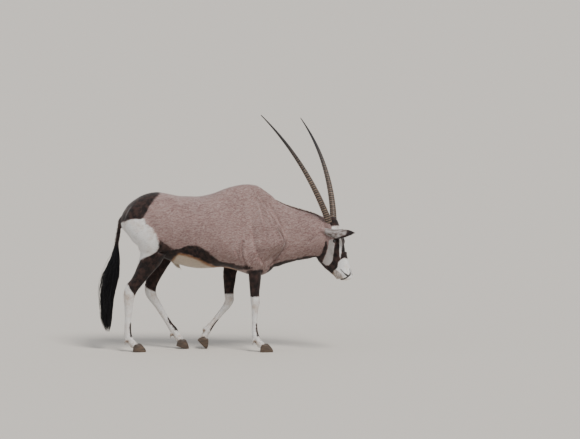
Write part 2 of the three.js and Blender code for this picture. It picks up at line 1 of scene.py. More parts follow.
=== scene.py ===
import math

import bpy
import bmesh
import numpy as np
from mathutils import Matrix, Vector


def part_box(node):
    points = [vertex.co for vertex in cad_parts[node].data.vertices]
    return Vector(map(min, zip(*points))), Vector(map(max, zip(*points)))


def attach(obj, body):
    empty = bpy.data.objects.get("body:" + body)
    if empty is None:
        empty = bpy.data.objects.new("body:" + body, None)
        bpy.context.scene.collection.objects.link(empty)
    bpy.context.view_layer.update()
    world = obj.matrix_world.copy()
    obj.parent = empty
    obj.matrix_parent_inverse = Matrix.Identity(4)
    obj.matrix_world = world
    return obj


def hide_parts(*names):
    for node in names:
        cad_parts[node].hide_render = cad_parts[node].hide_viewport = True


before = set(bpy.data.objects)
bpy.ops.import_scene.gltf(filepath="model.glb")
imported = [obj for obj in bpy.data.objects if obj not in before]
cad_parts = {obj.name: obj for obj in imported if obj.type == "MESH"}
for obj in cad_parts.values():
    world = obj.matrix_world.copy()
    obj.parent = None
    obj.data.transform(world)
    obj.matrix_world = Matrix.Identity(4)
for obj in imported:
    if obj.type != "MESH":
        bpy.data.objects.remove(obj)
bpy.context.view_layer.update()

# Sizes are in millimetres in the source's own frame until they are placed.
COAT_BODY = 4.0  # the skin lies this deep under the coat
COAT_SHORT = 2.0  # on the head and the lower legs
VOXEL = 0.0042  # metres
Y_AXIS = np.array([0.0, 1.0, 0.0])
X_AXIS = np.array([1.0, 0.0, 0.0])
UP = np.array([0.0, 0.0, 1.0])
DOWN = -UP
RIGHT, LEFT = -1, 1
rng = np.random.default_rng(11)


def unit(v):
    v = np.asarray(v, float)
    return v / np.maximum(np.linalg.norm(v, axis=-1, keepdims=True), 1e-9)


def smooth(x, low, high):
    t = np.clip((x - low) / (high - low), 0, 1)
    return t * t * (3 - 2 * t)


def lerp(a, b, t):
    return a + (b - a) * t


def round_turn(sides):
    return 2 * np.pi * np.arange(sides) / sides


# ---- Head frame
HEAD_TURN, HEAD_ROLL, FACE_LEAN = math.radians(-25), math.radians(-5), math.radians(17)
FOREHEAD = np.array([988.0, -75.0, 940.0])
_turn = np.array(Matrix.Rotation(HEAD_TURN, 3, "Z") @ Matrix.Rotation(HEAD_ROLL, 3, "X"))
FACE_DOWN = _turn @ np.array([math.sin(FACE_LEAN), 0, -math.cos(FACE_LEAN)])
HEAD_LEFT = _turn @ Y_AXIS
FACE_OUT = np.cross(FACE_DOWN, HEAD_LEFT)
HEAD_FORWARD = _turn @ X_AXIS
HEAD_UP = _turn @ UP
HEAD_AXES = np.array([FACE_DOWN, FACE_OUT, HEAD_LEFT])


def head_point(down, out, left):
    return FOREHEAD + np.array([down, out, left]) @ HEAD_AXES


def to_head(points):
    return (points - FOREHEAD) @ HEAD_AXES.T


EYE_AT = (135.0, -24.0, 49.0)
EYE_RADIUS = 21.0


def eye_centre(side):
    return head_point(EYE_AT[0], EYE_AT[1], side * EYE_AT[2])


_low, _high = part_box("eye_right")
SHIFT = np.array((_low + _high) / 2) * 1000 - eye_centre(RIGHT)


def place(points):
    return (np.asarray(points) + SHIFT) / 1000


# ---- The photo's view, which also carries the outlines of the markings
CAMERA_RANGE = 28000.0
CAMERA_TILT = math.radians(5)
MM_PER_PIXEL = 7.23
PHOTO_SIZE = (580, 439)
LOOK_AT = np.array([650.7, 0.0, 950.7])
_back = np.array([0, -math.cos(CAMERA_TILT), math.sin(CAMERA_TILT)])
CAMERA_AT = LOOK_AT + CAMERA_RANGE * _back
_cam_up = np.cross(X_AXIS, -_back)


def photo_place(points):
    """Where each point falls in the photo, in pixels."""
    away = points - CAMERA_AT
    depth = -(away @ _back)
    scale = CAMERA_RANGE / MM_PER_PIXEL / depth
    x = PHOTO_SIZE[0] / 2 + scale * (away @ X_AXIS)
    y = PHOTO_SIZE[1] / 2 - scale * (away @ _cam_up)
    return np.stack([x, y], -1)


# ---- Shapes: the source's stations. A row holds x, y, z, half width, height above and below
# the point, squareness and taper.
def through(rows, steps):
    """Stations on a smooth curve through the rows; squareness 2 and taper 0 where not given."""
    rows = np.array([list(r) + [2.0, 0.0][len(r) - 6 :] for r in rows], float)
    p = np.vstack([rows[:1], rows, rows[-1:]])
    t = (np.arange(steps) / steps)[None, :, None]
    p0, p1, p2, p3 = (p[i : i + len(rows) - 1][:, None] for i in range(4))
    out = 0.5 * (
        2 * p1
        + (p2 - p0) * t
        + (2 * p0 - 5 * p1 + 4 * p2 - p3) * t**2
        + (-p0 + 3 * p1 - 3 * p2 + p3) * t**3
    )
    return np.vstack([out.reshape(-1, rows.shape[1]), rows[-1:]])


def ring_mesh(rings, ends):
    """Corners, four-sided faces and end fans of a closed row of rings; ends are its two tips."""
    n, m = rings.shape[:2]
    points = np.vstack([rings.reshape(-1, 3), ends[:1], ends[-1:]])
    i, j = np.arange(n - 1)[:, None] * m, np.arange(m)
    k = (j + 1) % m
    quads = np.stack([i + j, i + k, i + m + k, i + m + j], -1).reshape(-1, 4)
    last = (n - 1) * m
    fans = [
        np.stack([np.full(m, n * m), k, j], -1),
        np.stack([np.full(m, n * m + 1), last + j, last + k], -1),
    ]
    return points, quads, np.vstack(fans)


def in_triangles(rings, ends):
    points, quads, fans = ring_mesh(rings, ends)
    return points, np.vstack([quads[:, [0, 1, 2]], quads[:, [0, 2, 3]], fans])


def in_faces(rings, ends):
    points, quads, fans = ring_mesh(rings, ends)
    return points, quads.tolist() + fans.tolist()


def tube(rows, sides=48, steps=5, lateral=Y_AXIS, facing=None):
    """Corners and faces of a closed tube through the stations."""
    s = through(rows, steps)
    c = s[:, :3]
    along = np.empty_like(c)
    along[1:-1] = c[2:] - c[:-2]
    along[0], along[-1] = c[1] - c[0], c[-1] - c[-2]
    along = unit(along) if facing is None else np.broadcast_to(facing, c.shape)
    side = unit(lateral - along * (along @ lateral)[:, None])
    up = np.cross(along, side)
    a = round_turn(sides)
    ca, sa = np.cos(a)[None], np.sin(a)[None]
    power = 2 / s[:, 6:7]
    wide = np.sign(ca) * np.abs(ca) ** power * s[:, 3:4] * (1 + s[:, 7:8] * sa)
    high = np.sign(sa) * np.abs(sa) ** power * np.where(sa > 0, s[:, 4:5], s[:, 5:6])
    rings = c[:, None] + side[:, None] * wide[..., None] + up[:, None] * high[..., None]
    return in_faces(rings, c)


TORSO = [  # x, top, bottom, half width, height of the widest place, squareness, taper
    (-572, 965, 905, 26, 935, 2, 0),
    (-556, 1003, 880, 62, 940, 2, 0),
    (-520, 1055, 838, 114, 935, 2.1, 0.02),
    (-470, 1096, 778, 156, 930, 2.2, 0),
    (-400, 1133, 735, 184, 930, 2.2, -0.04),
    (-320, 1149, 700, 198, 925, 2.25, -0.08),
    (-240, 1139, 665, 205, 900, 2.25, -0.06),
    (-160, 1123, 632, 214, 885, 2.2, -0.04),
    (-80, 1119, 608, 226, 875, 2.15, -0.04),
    (0, 1120, 599, 236, 870, 2.15, -0.06),
    (90, 1140, 602, 239, 865, 2.1, -0.12),
    (160, 1167, 606, 232, 860, 2.1, -0.22),
    (230, 1190, 594, 220, 850, 2.1, -0.32),
    (300, 1204, 572, 205, 840, 2.1, -0.42),
    (350, 1207, 556, 195, 830, 2.1, -0.46),
    (410, 1198, 546, 178, 820, 2.1, -0.46),
    (465, 1166, 556, 158, 815, 2.1, -0.42),
    (520, 1124, 590, 130, 810, 2.1, -0.35),
    (565, 1080, 640, 96, 815, 2, -0.25),
    (595, 1030, 700, 55, 830, 2, -0.2),
]
NECK = [
    (430, 0, 860, 120, 270, 240, 2.1, -0.35),
    (500, -1, 855, 130, 256, 246, 2.1, -0.34),
    (570, -4, 850, 130, 226, 240, 2.1, -0.3),
    (640, -9, 846, 118, 200, 212, 2.1, -0.25),
    (710, -16, 842, 106, 182, 190, 2.1, -0.2),
    (780, -26, 835, 96, 170, 172, 2.1, -0.14),
    (850, -40, 825, 88, 158, 150, 2.1, -0.08),
    (905, -53, 812, 80, 138, 134, 2.1, 0),
    (945, -63, 800, 66, 100, 108, 2, 0),
]
SHEATH = [
    (-236, 0, 706, 16, 20, 26),
    (-200, 0, 672, 17, 16, 24),
    (-165, 0, 628, 14, 11, 17),
    (-140, 0, 596, 8, 7, 8),
    (-132, 0, 586, 3, 3, 3),
]
HEAD = [  # down the face: out to the face, out to the jaw, half width, its place, and the rest
    (-42, -50, -118, 34, -84, 2, 0),
    (-26, -16, -146, 54, -80, 2, 0),
    (5, 4, -170, 66, -70, 2.1, 0),
    (45, 6, -190, 70, -62, 2.2, 0.05),
    (80, 6, -200, 72, -54, 2.3, 0.1),
    (112, 4, -205, 75, -50, 2.3, 0.14),
    (145, 4, -216, 74, -52, 2.3, 0.16),
    (180, 5, -222, 66, -64, 2.3, 0.12),
    (215, 7, -219, 57, -78, 2.3, 0.06),
    (255, 11, -190, 48, -76, 2.3, 0.04),
    (295, 15, -158, 44, -64, 2.3, 0.02),
    (335, 18, -129, 43, -50, 2.3, 0),
    (368, 18, -107, 44, -42, 2.4, 0.02),
    (393, 11, -92, 42, -38, 2.4, 0.04),
    (410, -4, -80, 33, -42, 2.2, 0.04),
    (419, -20, -68, 17, -44, 2, 0),
]
LEGS = {
    "fore_right": [
        (386, -122, 680, 50, 70, 76),
        (396, -114, 620, 45, 54, 58),
        (398, -110, 560, 40, 47, 48),
        (398, -107, 500, 35, 41, 42),
        (397, -105, 440, 30, 35, 36),
        (398, -104, 398, 31, 33, 34),
        (400, -104, 362, 32, 33, 33),
        (399, -104, 325, 27, 28, 28),
        (397, -104, 285, 21, 23, 24),
        (396, -104, 215, 18, 19, 22),
        (398, -104, 155, 20, 20, 24),
        (405, -104, 112, 26, 24, 29),
        (422, -104, 78, 25, 21, 26),
        (446, -104, 50, 30, 22, 29),
        (456, -104, 34, 24, 14, 20),
    ],
    "fore_left": [
        (250, 122, 680, 50, 66, 74),
        (228, 114, 620, 46, 58, 58),
        (214, 108, 560, 42, 52, 50),
        (210, 105, 500, 37, 45, 44),
        (207, 103, 440, 31, 38, 37),
        (208, 102, 396, 32, 34, 34),
        (208, 102, 356, 33, 34, 30),
        (192, 101, 320, 28, 29, 26),
        (166, 101, 284, 21, 23, 22),
        (121, 100, 227, 18, 19, 20),
        (84, 100, 180, 20, 20, 22),
        (58, 100, 146, 26, 25, 27),
        (36, 100, 108, 25, 24, 24),
        (22, 100, 78, 29, 27, 25),
        (20, 100, 62, 22, 18, 17),
    ],
    "hind_right": [
        (-330, -126, 745, 70, 96, 100),
        (-352, -122, 688, 62, 86, 84),
        (-382, -114, 630, 52, 70, 66),
        (-418, -107, 570, 44, 56, 52),
        (-456, -102, 510, 36, 47, 44),
        (-484, -100, 466, 32, 42, 50),
        (-505, -100, 425, 33, 42, 44),
        (-512, -100, 378, 29, 37, 38),
        (-514, -100, 325, 23, 30, 31),
        (-517, -100, 240, 19, 24, 26),
        (-519, -100, 165, 20, 24, 27),
        (-516, -100, 112, 26, 27, 31),
        (-498, -100, 78, 25, 23, 27),
        (-473, -100, 50, 30, 23, 30),
        (-463, -100, 34, 24, 14, 20),
    ],
    "hind_left": [
        (-262, 126, 735, 70, 92, 98),
        (-282, 122, 670, 60, 80, 80),
        (-306, 114, 610, 50, 66, 62),
        (-332, 107, 550, 43, 56, 50),
        (-352, 103, 495, 36, 48, 44),
        (-363, 101, 452, 33, 44, 42),
        (-362, 100, 412, 33, 40, 40),
        (-345, 100, 372, 29, 33, 34),
        (-317, 100, 328, 23, 27, 27),
        (-268, 100, 246, 19, 22, 22),
        (-225, 100, 178, 20, 22, 24),
        (-197, 100, 138, 26, 27, 28),
        (-174, 100, 102, 25, 24, 26),
        (-152, 100, 72, 30, 25, 29),
        (-144, 100, 56, 23, 16, 19),
    ],
}
DOCK = [
    (-490, 0, 962, 26, 26, 26),
    (-536, 0, 966, 30, 26, 30),
    (-565, 0, 942, 25, 17, 24),
    (-580, 0, 893, 18, 14, 15),
    (-589, 0, 842, 16, 14, 15),
    (-596, 0, 800, 15, 14, 15),
    (-604, 0, 752, 13, 12, 13),
]


def shoulder(side, elbow_x, elbow_z):
    return [
        (382, side * 48, 1120, 22, 40, 46, 2, 0),
        (402, side * 72, 1055, 38, 84, 84, 2.2, 0),
        (436, side * 106, 950, 54, 128, 110, 2.3, 0),
        (470, side * 126, 850, 66, 146, 118, 2.3, 0),
        (474, side * 136, 785, 68, 144, 122, 2.2, 0),
        (lerp(466, elbow_x, 0.4), side * 130, 725, 62, 128, 112, 2.1, 0),
        (lerp(440, elbow_x, 0.8), side * 122, elbow_z, 52, 96, 84, 2.1, 0),
        (lerp(400, elbow_x, 0.9), side * 114, elbow_z - 55, 44, 56, 60, 2, 0),
    ]


def thigh(side, stifle_x, stifle_z):
    return [
        (-368, side * 58, 1098, 26, 66, 70, 2, 0),
        (-384, side * 92, 1050, 60, 118, 112, 2.2, 0),
        (-392, side * 112, 960, 78, 158, 148, 2.3, 0),
        (-388, side * 124, 870, 84, 180, 128, 2.3, 0),
        (lerp(-372, stifle_x, 0.4), side * 128, 790, 80, 160, 102, 2.2, 0),
        (lerp(-370, stifle_x, 0.6), side * 124, stifle_z, 70, 116, 96, 2.1, 0),
    ]


def dewclaws(foot):
    fetlock, pastern = (np.array(LEGS[foot][i][:3], float) for i in (11, 12))
    along = unit(pastern - fetlock)
    back = np.array([along[2], 0, -along[0]])
    at = fetlock + 16 * along + 24 * back
    for side in (LEFT, RIGHT):
        yield [
            (*(at - 10 * back + [0, side * 14, 8]), 10, 10, 10),
            (*(at + 4 * back + [0, side * 16, -2]), 9, 10, 10),
            (*(at + 13 * back + [0, side * 17, -20]), 5, 5, 5),
        ]


def ball(centre, radii, axes, rings=24):
    """A closed ellipsoid with its radii along the three axes."""
    t = np.linspace(0, np.pi, rings + 1)[1:-1, None]
    a = round_turn(2 * rings)
    ring = [np.cos(t) * np.ones_like(a), np.sin(t) * np.cos(a), np.sin(t) * np.sin(a)]
    poles = np.array([[1.0, 0, 0], [-1.0, 0, 0]])
    shaped = [np.asarray(centre) + p * np.array(radii) @ np.asarray(axes)
              for p in (np.stack(ring, -1), poles)]
    return in_faces(*shaped)


def gather(parts):
    points, faces, start = [], [], 0
    for p, f in parts:
        points.append(p)
        faces += [[i + start for i in face] for face in f]
        start += len(p)
    return np.vstack(points), faces


def make_object(name, points, faces):
    mesh = bpy.data.meshes.new(name)
    mesh.from_pydata([tuple(p) for p in place(points)], [], faces)
    mesh.update()
    mesh.shade_smooth()
    obj = bpy.data.objects.new(name, mesh)
    bpy.context.scene.collection.objects.link(obj)
    return obj


# ---- Skin: the flesh as one surface
def flesh_parts():
    torso = [
        (x, 0, mid, wide, top - mid, mid - bottom, square, taper)
        for x, top, bottom, wide, mid, square, taper in TORSO
    ]
    yield tube(torso, 72, 5, facing=X_AXIS)
    yield tube(NECK, 56, 6)
    yield tube(SHEATH, 20, 5)
    yield tube(shoulder(RIGHT, 388, 665), 40, 6, facing=DOWN)
    yield tube(shoulder(LEFT, 250, 665), 40, 6, facing=DOWN)
    yield tube(thigh(RIGHT, -318, 735), 44, 6, facing=DOWN)
    yield tube(thigh(LEFT, -262, 735), 44, 6, facing=DOWN)
    yield tube(DOCK, 24, 6)
    for foot, rows in LEGS.items():
        yield tube(rows, 32, 6)
        for rows_ in dewclaws(foot):
            yield tube(rows_, 12, 4)
    head = []
    for down, face, jaw, wide, mid, square, taper in HEAD:
        head.append((*head_point(down, mid, 0), wide, face - mid, mid - jaw, square, taper))
    yield tube(head, 64, 6, lateral=HEAD_LEFT)
    for side in (LEFT, RIGHT):
        yield ball(eye_centre(side), (35, 25, 27), [FACE_DOWN, HEAD_LEFT, FACE_OUT])
        # Where each ear grows out, a soft rise of the scalp.
        yield ball(head_point(40, -96, side * 62), (30, 26, 28), HEAD_AXES)


def read(items, what, width=1, kind=np.float32):
    """One property of all of a mesh's vertices, edges or the like."""
    values = np.empty(len(items) * width, kind)
    items.foreach_get(what, values)
    return values.reshape(-1, width) if width > 1 else values


def coords(mesh):
    return read(mesh.vertices, "co", 3).astype(float)


def vertex_normals(mesh):
    return read(mesh.vertex_normals, "vector", 3).astype(float)


def put(mesh, name, values):
    layer = mesh.attributes.new(name, "FLOAT", "POINT")
    layer.data.foreach_set("value", np.asarray(values, np.float32))


def neighbours_mean(values, edges, count):
    out = np.empty_like(values)
    for c in range(values.shape[1]):
        total = np.bincount(edges[:, 0], values[edges[:, 1], c], len(values))
        total += np.bincount(edges[:, 1], values[edges[:, 0], c], len(values))
        out[:, c] = total / count
    return out


def relax(co, edges, weight, rounds, keep):
    """Evens a surface out; keep pushes it back so that it shrinks less."""
    count = np.maximum(np.bincount(edges.ravel(), minlength=len(co)), 1)
    for _ in range(rounds):
        for share in (0.6, -keep):
            co = co + share * weight[:, None] * (neighbours_mean(co, edges, count) - co)
    return co


skin = make_object("skin", *gather(flesh_parts()))
remesh = skin.modifiers.new("even", "REMESH")
remesh.mode = "VOXEL"
remesh.voxel_size = VOXEL
remesh.use_smooth_shade = True
dg = bpy.context.evaluated_depsgraph_get()
whole = bpy.data.meshes.new_from_object(skin.evaluated_get(dg))
skin.modifiers.clear()
skin.data = whole

# The head is divided once more for its lids, nostrils and lips.
HEAD_FROM = np.array([850.0, -45.0, 790.0])  # the cut between the neck and the head
HEAD_CUT = unit([0.95, -0.25, -0.2])
bm = bmesh.new()
bm.from_mesh(whole)
co = coords(whole) * 1000 - SHIFT
on_head = (co - HEAD_FROM) @ HEAD_CUT > 20
bm.verts.ensure_lookup_table()
split = [e for e in bm.edges if on_head[e.verts[0].index] and on_head[e.verts[1].index]]
bmesh.ops.subdivide_edges(bm, edges=split, cuts=1, use_grid_fill=True)
bm.to_mesh(whole)
bm.free()
whole.update()

co = coords(whole) * 1000 - SHIFT
edges = read(whole.edges, "vertices", 2, np.int32)
hd = to_head(co)
headness = smooth((co - HEAD_FROM) @ HEAD_CUT, -10, 50)
lowness = 1 - smooth(co[:, 2], 380, 600)
tailness = smooth(-co[:, 0], 560, 580)
soft = np.clip(1 - 0.75 * headness - 0.8 * lowness - 0.6 * tailness, 0.08, 1)
co = relax(co, edges, soft, 26, keep=0.35)
co = relax(co, edges, np.ones(len(co)) * 0.5, 3, keep=0.3)
whole.vertices.foreach_set("co", place(co).ravel())
whole.update()
normal = vertex_normals(whole)
depth = lerp(COAT_BODY, COAT_SHORT, np.clip(headness + lowness, 0, 1))
co = co - normal * depth[:, None]
hd = to_head(co)


def groove(distance, width):
    return np.exp(-((distance / width) ** 2))


# Eyes: a lens-shaped opening between lids, with a rim and a crease.
push = np.zeros(len(co))
side_of = np.abs(hd[:, 2])
slant = math.radians(18)
ea, eb = hd[:, 0] - EYE_AT[0], hd[:, 1] - EYE_AT[1]
along_eye = ea * math.cos(slant) - eb * math.sin(slant)
across_eye = ea * math.sin(slant) + eb * math.cos(slant)
LENS = (19.0, 11.0)
lens = np.sqrt((along_eye / LENS[0]) ** 2 + (across_eye / LENS[1]) ** 2)
outer = smooth(side_of, 45, 60) * headness
push -= 11 * (1 - smooth(lens, 0.72, 1.04)) * outer
push += 1.6 * groove(lens - 1.22, 0.2) * outer
push -= 1.5 * groove(lens - 1.75, 0.2) * outer
# Height in millimetres; how far down and out on the face; length to width; width; and the
# distances from the face's middle between which it comes in.
FACE_RELIEF = [
    (3.0, 109, -12, 1.0, 20, 45, 60),  # brow
    (-2.5, 169, -36, 1.6, 9, 45, 60),  # tear groove
    (3.0, 195, -60, 3.0, 12, 30, 45),  # cheek bone
    (4.0, 105, -135, 1.0, 45, 25, 45),  # jaw muscle
    (-2.5, 255, -45, 2.2, 20, 20, 36),  # hollow in front of the cheek
]
for height, down, out, stretch, wide, begins, full in FACE_RELIEF:
    away = np.hypot((hd[:, 0] - down) / stretch, hd[:, 1] - out)
    push += height * groove(away, wide) * smooth(side_of, begins, full)
# Muzzle and bridge of the nose keep their full size.
push += 6.5 * smooth(hd[:, 0], 330, 400) * headness
push += 6.0 * groove(hd[:, 0] - 225, 70) * smooth(hd[:, 1], -18, 4) * headness
# Nostrils: a slanted comma on each side of the nose.
NOSTRIL = (390.0, -7.0, 34.0)
na, nb = hd[:, 0] - NOSTRIL[0], hd[:, 1] - NOSTRIL[1]
nl = side_of - NOSTRIL[2]
tilt = math.radians(40)
along_n = na * math.cos(tilt) + nb * math.sin(tilt) + 0.35 * nl
across_n = -na * math.sin(tilt) + nb * math.cos(tilt) - 0.05 * along_n**2 / 4
nostril = np.sqrt((along_n / 13.5) ** 2 + (across_n / 4.6) ** 2)
near_nostril = np.abs(nl) < 22
push -= 8 * (1 - smooth(nostril, 0.55, 1.05)) * near_nostril
push += 2.0 * groove(nostril - 1.45, 0.35) * near_nostril
# Mouth line and lips, and the groove under the nose.
MOUTH_FROM, MOUTH_TO = np.array([338.0, -46.0]), np.array([422.0, -22.0])
mouth_along = unit(MOUTH_TO - MOUTH_FROM)
rel = hd[:, :2] - MOUTH_FROM
m_t = rel @ mouth_along
m_d = rel @ np.array([-mouth_along[1], mouth_along[0]])
m_d = m_d + 2.5 * np.sin(m_t / 26)
in_mouth = smooth(m_t, -4, 8)
push -= 3.6 * groove(m_d, 2.4) * in_mouth
push += 2.0 * groove(m_d - 9, 6) * in_mouth + 1.6 * groove(m_d + 9, 6) * in_mouth
push -= 1.4 * groove(hd[:, 2], 2.4) * smooth(hd[:, 0], 372, 395) * (hd[:, 1] > -50)


def line_distance(points, line):
    """Distance in pixels to an open line in the photo's view."""
    a = np.array(line, float)
    best = np.full(len(points), np.inf)
    for p, q in zip(a[:-1], a[1:]):
        d = q - p
        t = np.clip((points - p) @ d / (d @ d), 0, 1)
        best = np.minimum(best, np.linalg.norm(points - p - t[:, None] * d, axis=1))
    return best


# Folds of the skin: line in the photo's view, depth and width in millimetres. Each fold is pushed
# in and also gets painted shade along it.
FOLDS = [
    ([(279, 229), (284, 238), (285.6, 243), (283.5, 250), (277, 258.5), (268.3, 266)], 6.5, 8.0),
    ([(260, 196), (266, 206), (272.8, 219), (279, 230), (283, 237)], 3.0, 8.0),
    ([(267, 201), (274, 211), (280, 222), (285, 234)], 1.8, 7.0),
    ([(256, 199), (262, 211), (266, 225), (267, 238)], 1.6, 9.0),
    ([(243.3, 241), (242.3, 250), (243, 257.5), (247.2, 266)], 6.0, 8.0),
    ([(236, 250), (239, 257), (244, 264)], 3.0, 7.0),
    ([(323, 232.5), (316, 237), (310, 240.5)], 3.0, 12.0),
    ([(308, 243), (302, 248), (297, 254)], 1.6, 11.0),
    ([(250, 262), (254, 257), (259, 257), (263, 262)], 1.8, 8.0),
    ([(160, 240), (170, 247), (182, 251)], 3.0, 10.0),
    ([(146, 262), (141, 272), (137, 283)], 3.0, 8.0),
]
mirrored = co.copy()
mirrored[:, 1] = -np.abs(mirrored[:, 1])
trunk_view = photo_place(mirrored)
crease_shade = np.full(len(co), 60.0)
flanks = smooth(np.abs(normal[:, 1]), 0.15, 0.5) * (1 - headness)
for fold, fold_depth, fold_width in FOLDS:
    away = line_distance(trunk_view, fold) * MM_PER_PIXEL
    push -= fold_depth * groove(away, fold_width) * flanks
    push += 0.45 * fold_depth * groove(away - 2.2 * fold_width, 1.3 * fold_width) * flanks
    # Distance to the nearest fold, where the coat gets painted shade.
    crease_shade = np.minimum(crease_shade, (away / fold_width + 1 - fold_depth / 7) * 8 + 60 * (1 - flanks))
co = co + normal * push[:, None]
whole.vertices.foreach_set("co", place(co).ravel())
whole.update()

# ---- Markings: distances in millimetres to outlines drawn in the photo's view
CROUP = [(163, 184), (163, 193), (157, 198), (153, 203), (150, 207), (148, 212), (145, 217),
         (141, 219), (135, 218.5), (130, 219.5), (124, 221), (110, 226), (104, 214), (112, 200),
         (126, 186), (145, 180)]
THIGH_WHITE = [(141, 219), (145, 218), (147, 224), (153, 228), (157, 235), (159, 240), (160, 246),
               (158, 251), (152, 255), (146, 257), (141, 259), (139, 264), (110, 264), (106, 230),
               (122, 222), (130, 219.5), (135, 218.5)]
STIFLE = [(160, 239), (165, 243.5), (170, 246), (173, 249.5), (180, 249), (185, 246.5), (190, 245),
          (195, 245), (200, 246), (205, 248.5), (210, 252), (215, 256), (220, 260), (225, 262),
          (235, 263.5), (254, 266), (254, 274.5), (240, 269.5), (230, 266.8), (220, 266),
          (210, 263), (200, 258), (190, 254.5), (181, 252.5), (177, 256), (172, 263), (166, 272),
          (158, 286), (150, 300), (100, 300), (100, 264), (139, 264), (141, 259), (146, 257),
          (152, 255), (158, 251), (160, 246)]
BELLY = [(177, 254), (181, 252.5), (190, 254.5), (200, 258), (210, 263), (220, 266), (230, 266.8),
         (240, 269.5), (247, 274.5), (246, 290), (168, 290), (166, 272), (172, 263)]
THROAT = [(317, 255.2), (318, 263), (300, 266), (284, 269), (271, 273), (266.5, 270),
          (268, 266), (282, 260.9), (300, 257.4), (311, 255.2)]
FACE_DARK = [(327.5, 214), (350, 214), (356, 257), (348.5, 258.3), (344, 257.5), (341, 259),
             (338, 262), (337.5, 267), (334, 270.5), (333, 273), (326.5, 268), (330, 264),
             (332.5, 260), (333.5, 252), (334, 248), (335.3, 243), (334.5, 236), (331.5, 227),
             (328.5, 222)]
FACE_STRIPE = [(337.5, 225), (343.5, 225), (343.8, 236), (342.3, 243), (341.6, 248), (341.2, 253),
               (340.2, 258.5), (339.3, 255), (339.2, 248), (339, 241)]
MUZZLE = [(338, 262), (341, 259), (344, 257.5), (348.5, 258.3), (360, 257), (360, 290), (338, 290),
          (331, 275), (333, 273), (334, 270.5), (337.5, 267)]
CHEEK = [(329.5, 240), (333.5, 238), (334.4, 243), (333.8, 247), (334.6, 251), (334.4, 255),
         (333, 259), (331.4, 262.5), (329.2, 265), (325.8, 265.2), (322.6, 262.2), (324.4, 258),
         (326.6, 253), (328, 247)]
CHEEK_LINE = [(325.4, 241), (326.4, 241), (328, 247), (326.6, 253), (324.4, 258), (322.6, 262.2),
              (325.8, 265.2), (329.2, 265), (331.4, 262.5), (334, 270.5), (333, 280), (322, 275),
              (311, 262), (316, 255.6), (319.5, 256), (322.4, 252.5), (324.2, 247)]
CHIN = [(334.5, 269.8), (338, 270.5), (341, 273.5), (343.5, 277.5), (341, 284), (334, 280),
        (331.5, 274)]
# Open lines on the muzzle, painted as shade in the mouth's lines and the nostrils: the line in the
# photo's view, and half its width in millimetres.
MUZZLE_LINES = [
    ([(340.9, 269.2), (343.1, 271.9), (345.9, 274.9), (347.7, 276.3), (348.6, 276.2)], 3.04),
    ([(341.2, 279.2), (343.5, 279.1), (346.2, 277.8), (348.6, 276.0), (350.2, 273.6)], 5.42),
    ([(350.0, 268.8), (350.5, 271), (350.2, 273.4)], 4.48),
]
# A fold beside the nose, which gets painted shade in the chin's stain colours.
NOSE_FOLD_SHADE = [(346.6, 269.6), (347.8, 272.4)]


def outline_distance(points, outline):
    """Distance to an outline, negative inside it."""
    a = np.array(outline, float)
    b = np.roll(a, -1, axis=0)
    best = np.full(len(points), 1e9)
    inside = np.zeros(len(points), bool)
    x, y = points[:, 0], points[:, 1]
    for (ax, ay), (bx, by) in zip(a, b):
        dx, dy = bx - ax, by - ay
        t = np.clip(((x - ax) * dx + (y - ay) * dy) / (dx * dx + dy * dy), 0, 1)
        best = np.minimum(best, (x - ax - t * dx) ** 2 + (y - ay - t * dy) ** 2)
        if ay != by:
            crosses = ((ay > y) != (by > y)) & (x < (bx - ax) * (y - ay) / (by - ay) + ax)
            inside ^= crosses
    return np.sqrt(best) * np.where(inside, -1, 1) * MM_PER_PIXEL


def leg_levels(points):
    """Nearest leg's station number, distance from its axis and how far to the front."""
    best = np.full(len(points), 1e9)
    level = np.zeros(len(points))
    front = np.zeros(len(points))
    hind = np.zeros(len(points), bool)
    for name, rows in LEGS.items():
        a = np.array([r[:3] for r in rows], float)
        sizes = np.array([r[4] for r in rows], float)
        for i in range(len(a) - 1):
            d = a[i + 1] - a[i]
            t = np.clip((points - a[i]) @ d / (d @ d), 0, 1)
            off = points - a[i] - t[:, None] * d
            dist = np.linalg.norm(off, axis=1)
            ahead = np.array([-d[2], 0, d[0]]) / np.hypot(d[0], d[2])
            closer = dist < best
            best = np.where(closer, dist, best)
            level = np.where(closer, i + t, level)
            front = np.where(closer, off @ ahead / lerp(sizes[i], sizes[i + 1], t), front)
            hind = np.where(closer, "hind" in name, hind)
    return level, best, front, hind


STATION_MM = 52.0  # about the height between two stations of a leg
KNEE_LINE, HOCK_LINE = 4.75, 5.35  # stations at which the white of the legs begins
NOWHERE = 400.0
HEAD_STARTS = -35.0


def nearest(*distances):
    return np.minimum.reduce(distances)


def on_leg(points, level, off_axis):
    return (level > 0.4) & (off_axis < 110) & (points[:, 2] < 690)


def leg_marks(points):
    """Dark forearm and gaskin, white below, and a dark streak on each cannon."""
    level, off_axis, front, hind = leg_levels(points)
    use = on_leg(points, level, off_axis) & (level > np.where(hind, 2.2, 0.9))
    line = np.where(hind, HOCK_LINE + 0.55 * front, KNEE_LINE)
    below = (level - line) * STATION_MM
    elbow = np.maximum((1.15 - level) * STATION_MM, off_axis - 64 - 60 * smooth(level, 1.8, 2.6))
    dark = np.where(hind, below, np.maximum(below, elbow))
    along = np.maximum(np.abs(level - lerp(10.0, 10.3, hind)) - 0.85, 0) * 60
    joint = np.abs(level - lerp(6.0, 6.4, hind)) * STATION_MM
    return use, {
        "dark": nearest(dark, along + (0.35 - front) * 22),
        "white": -below,
        "smudge": np.hypot((level - 11.6) * 40, (front + 1.0) * 25) - 14,
        "dust": nearest(joint, points[:, 2] - 95) - 45,
    }


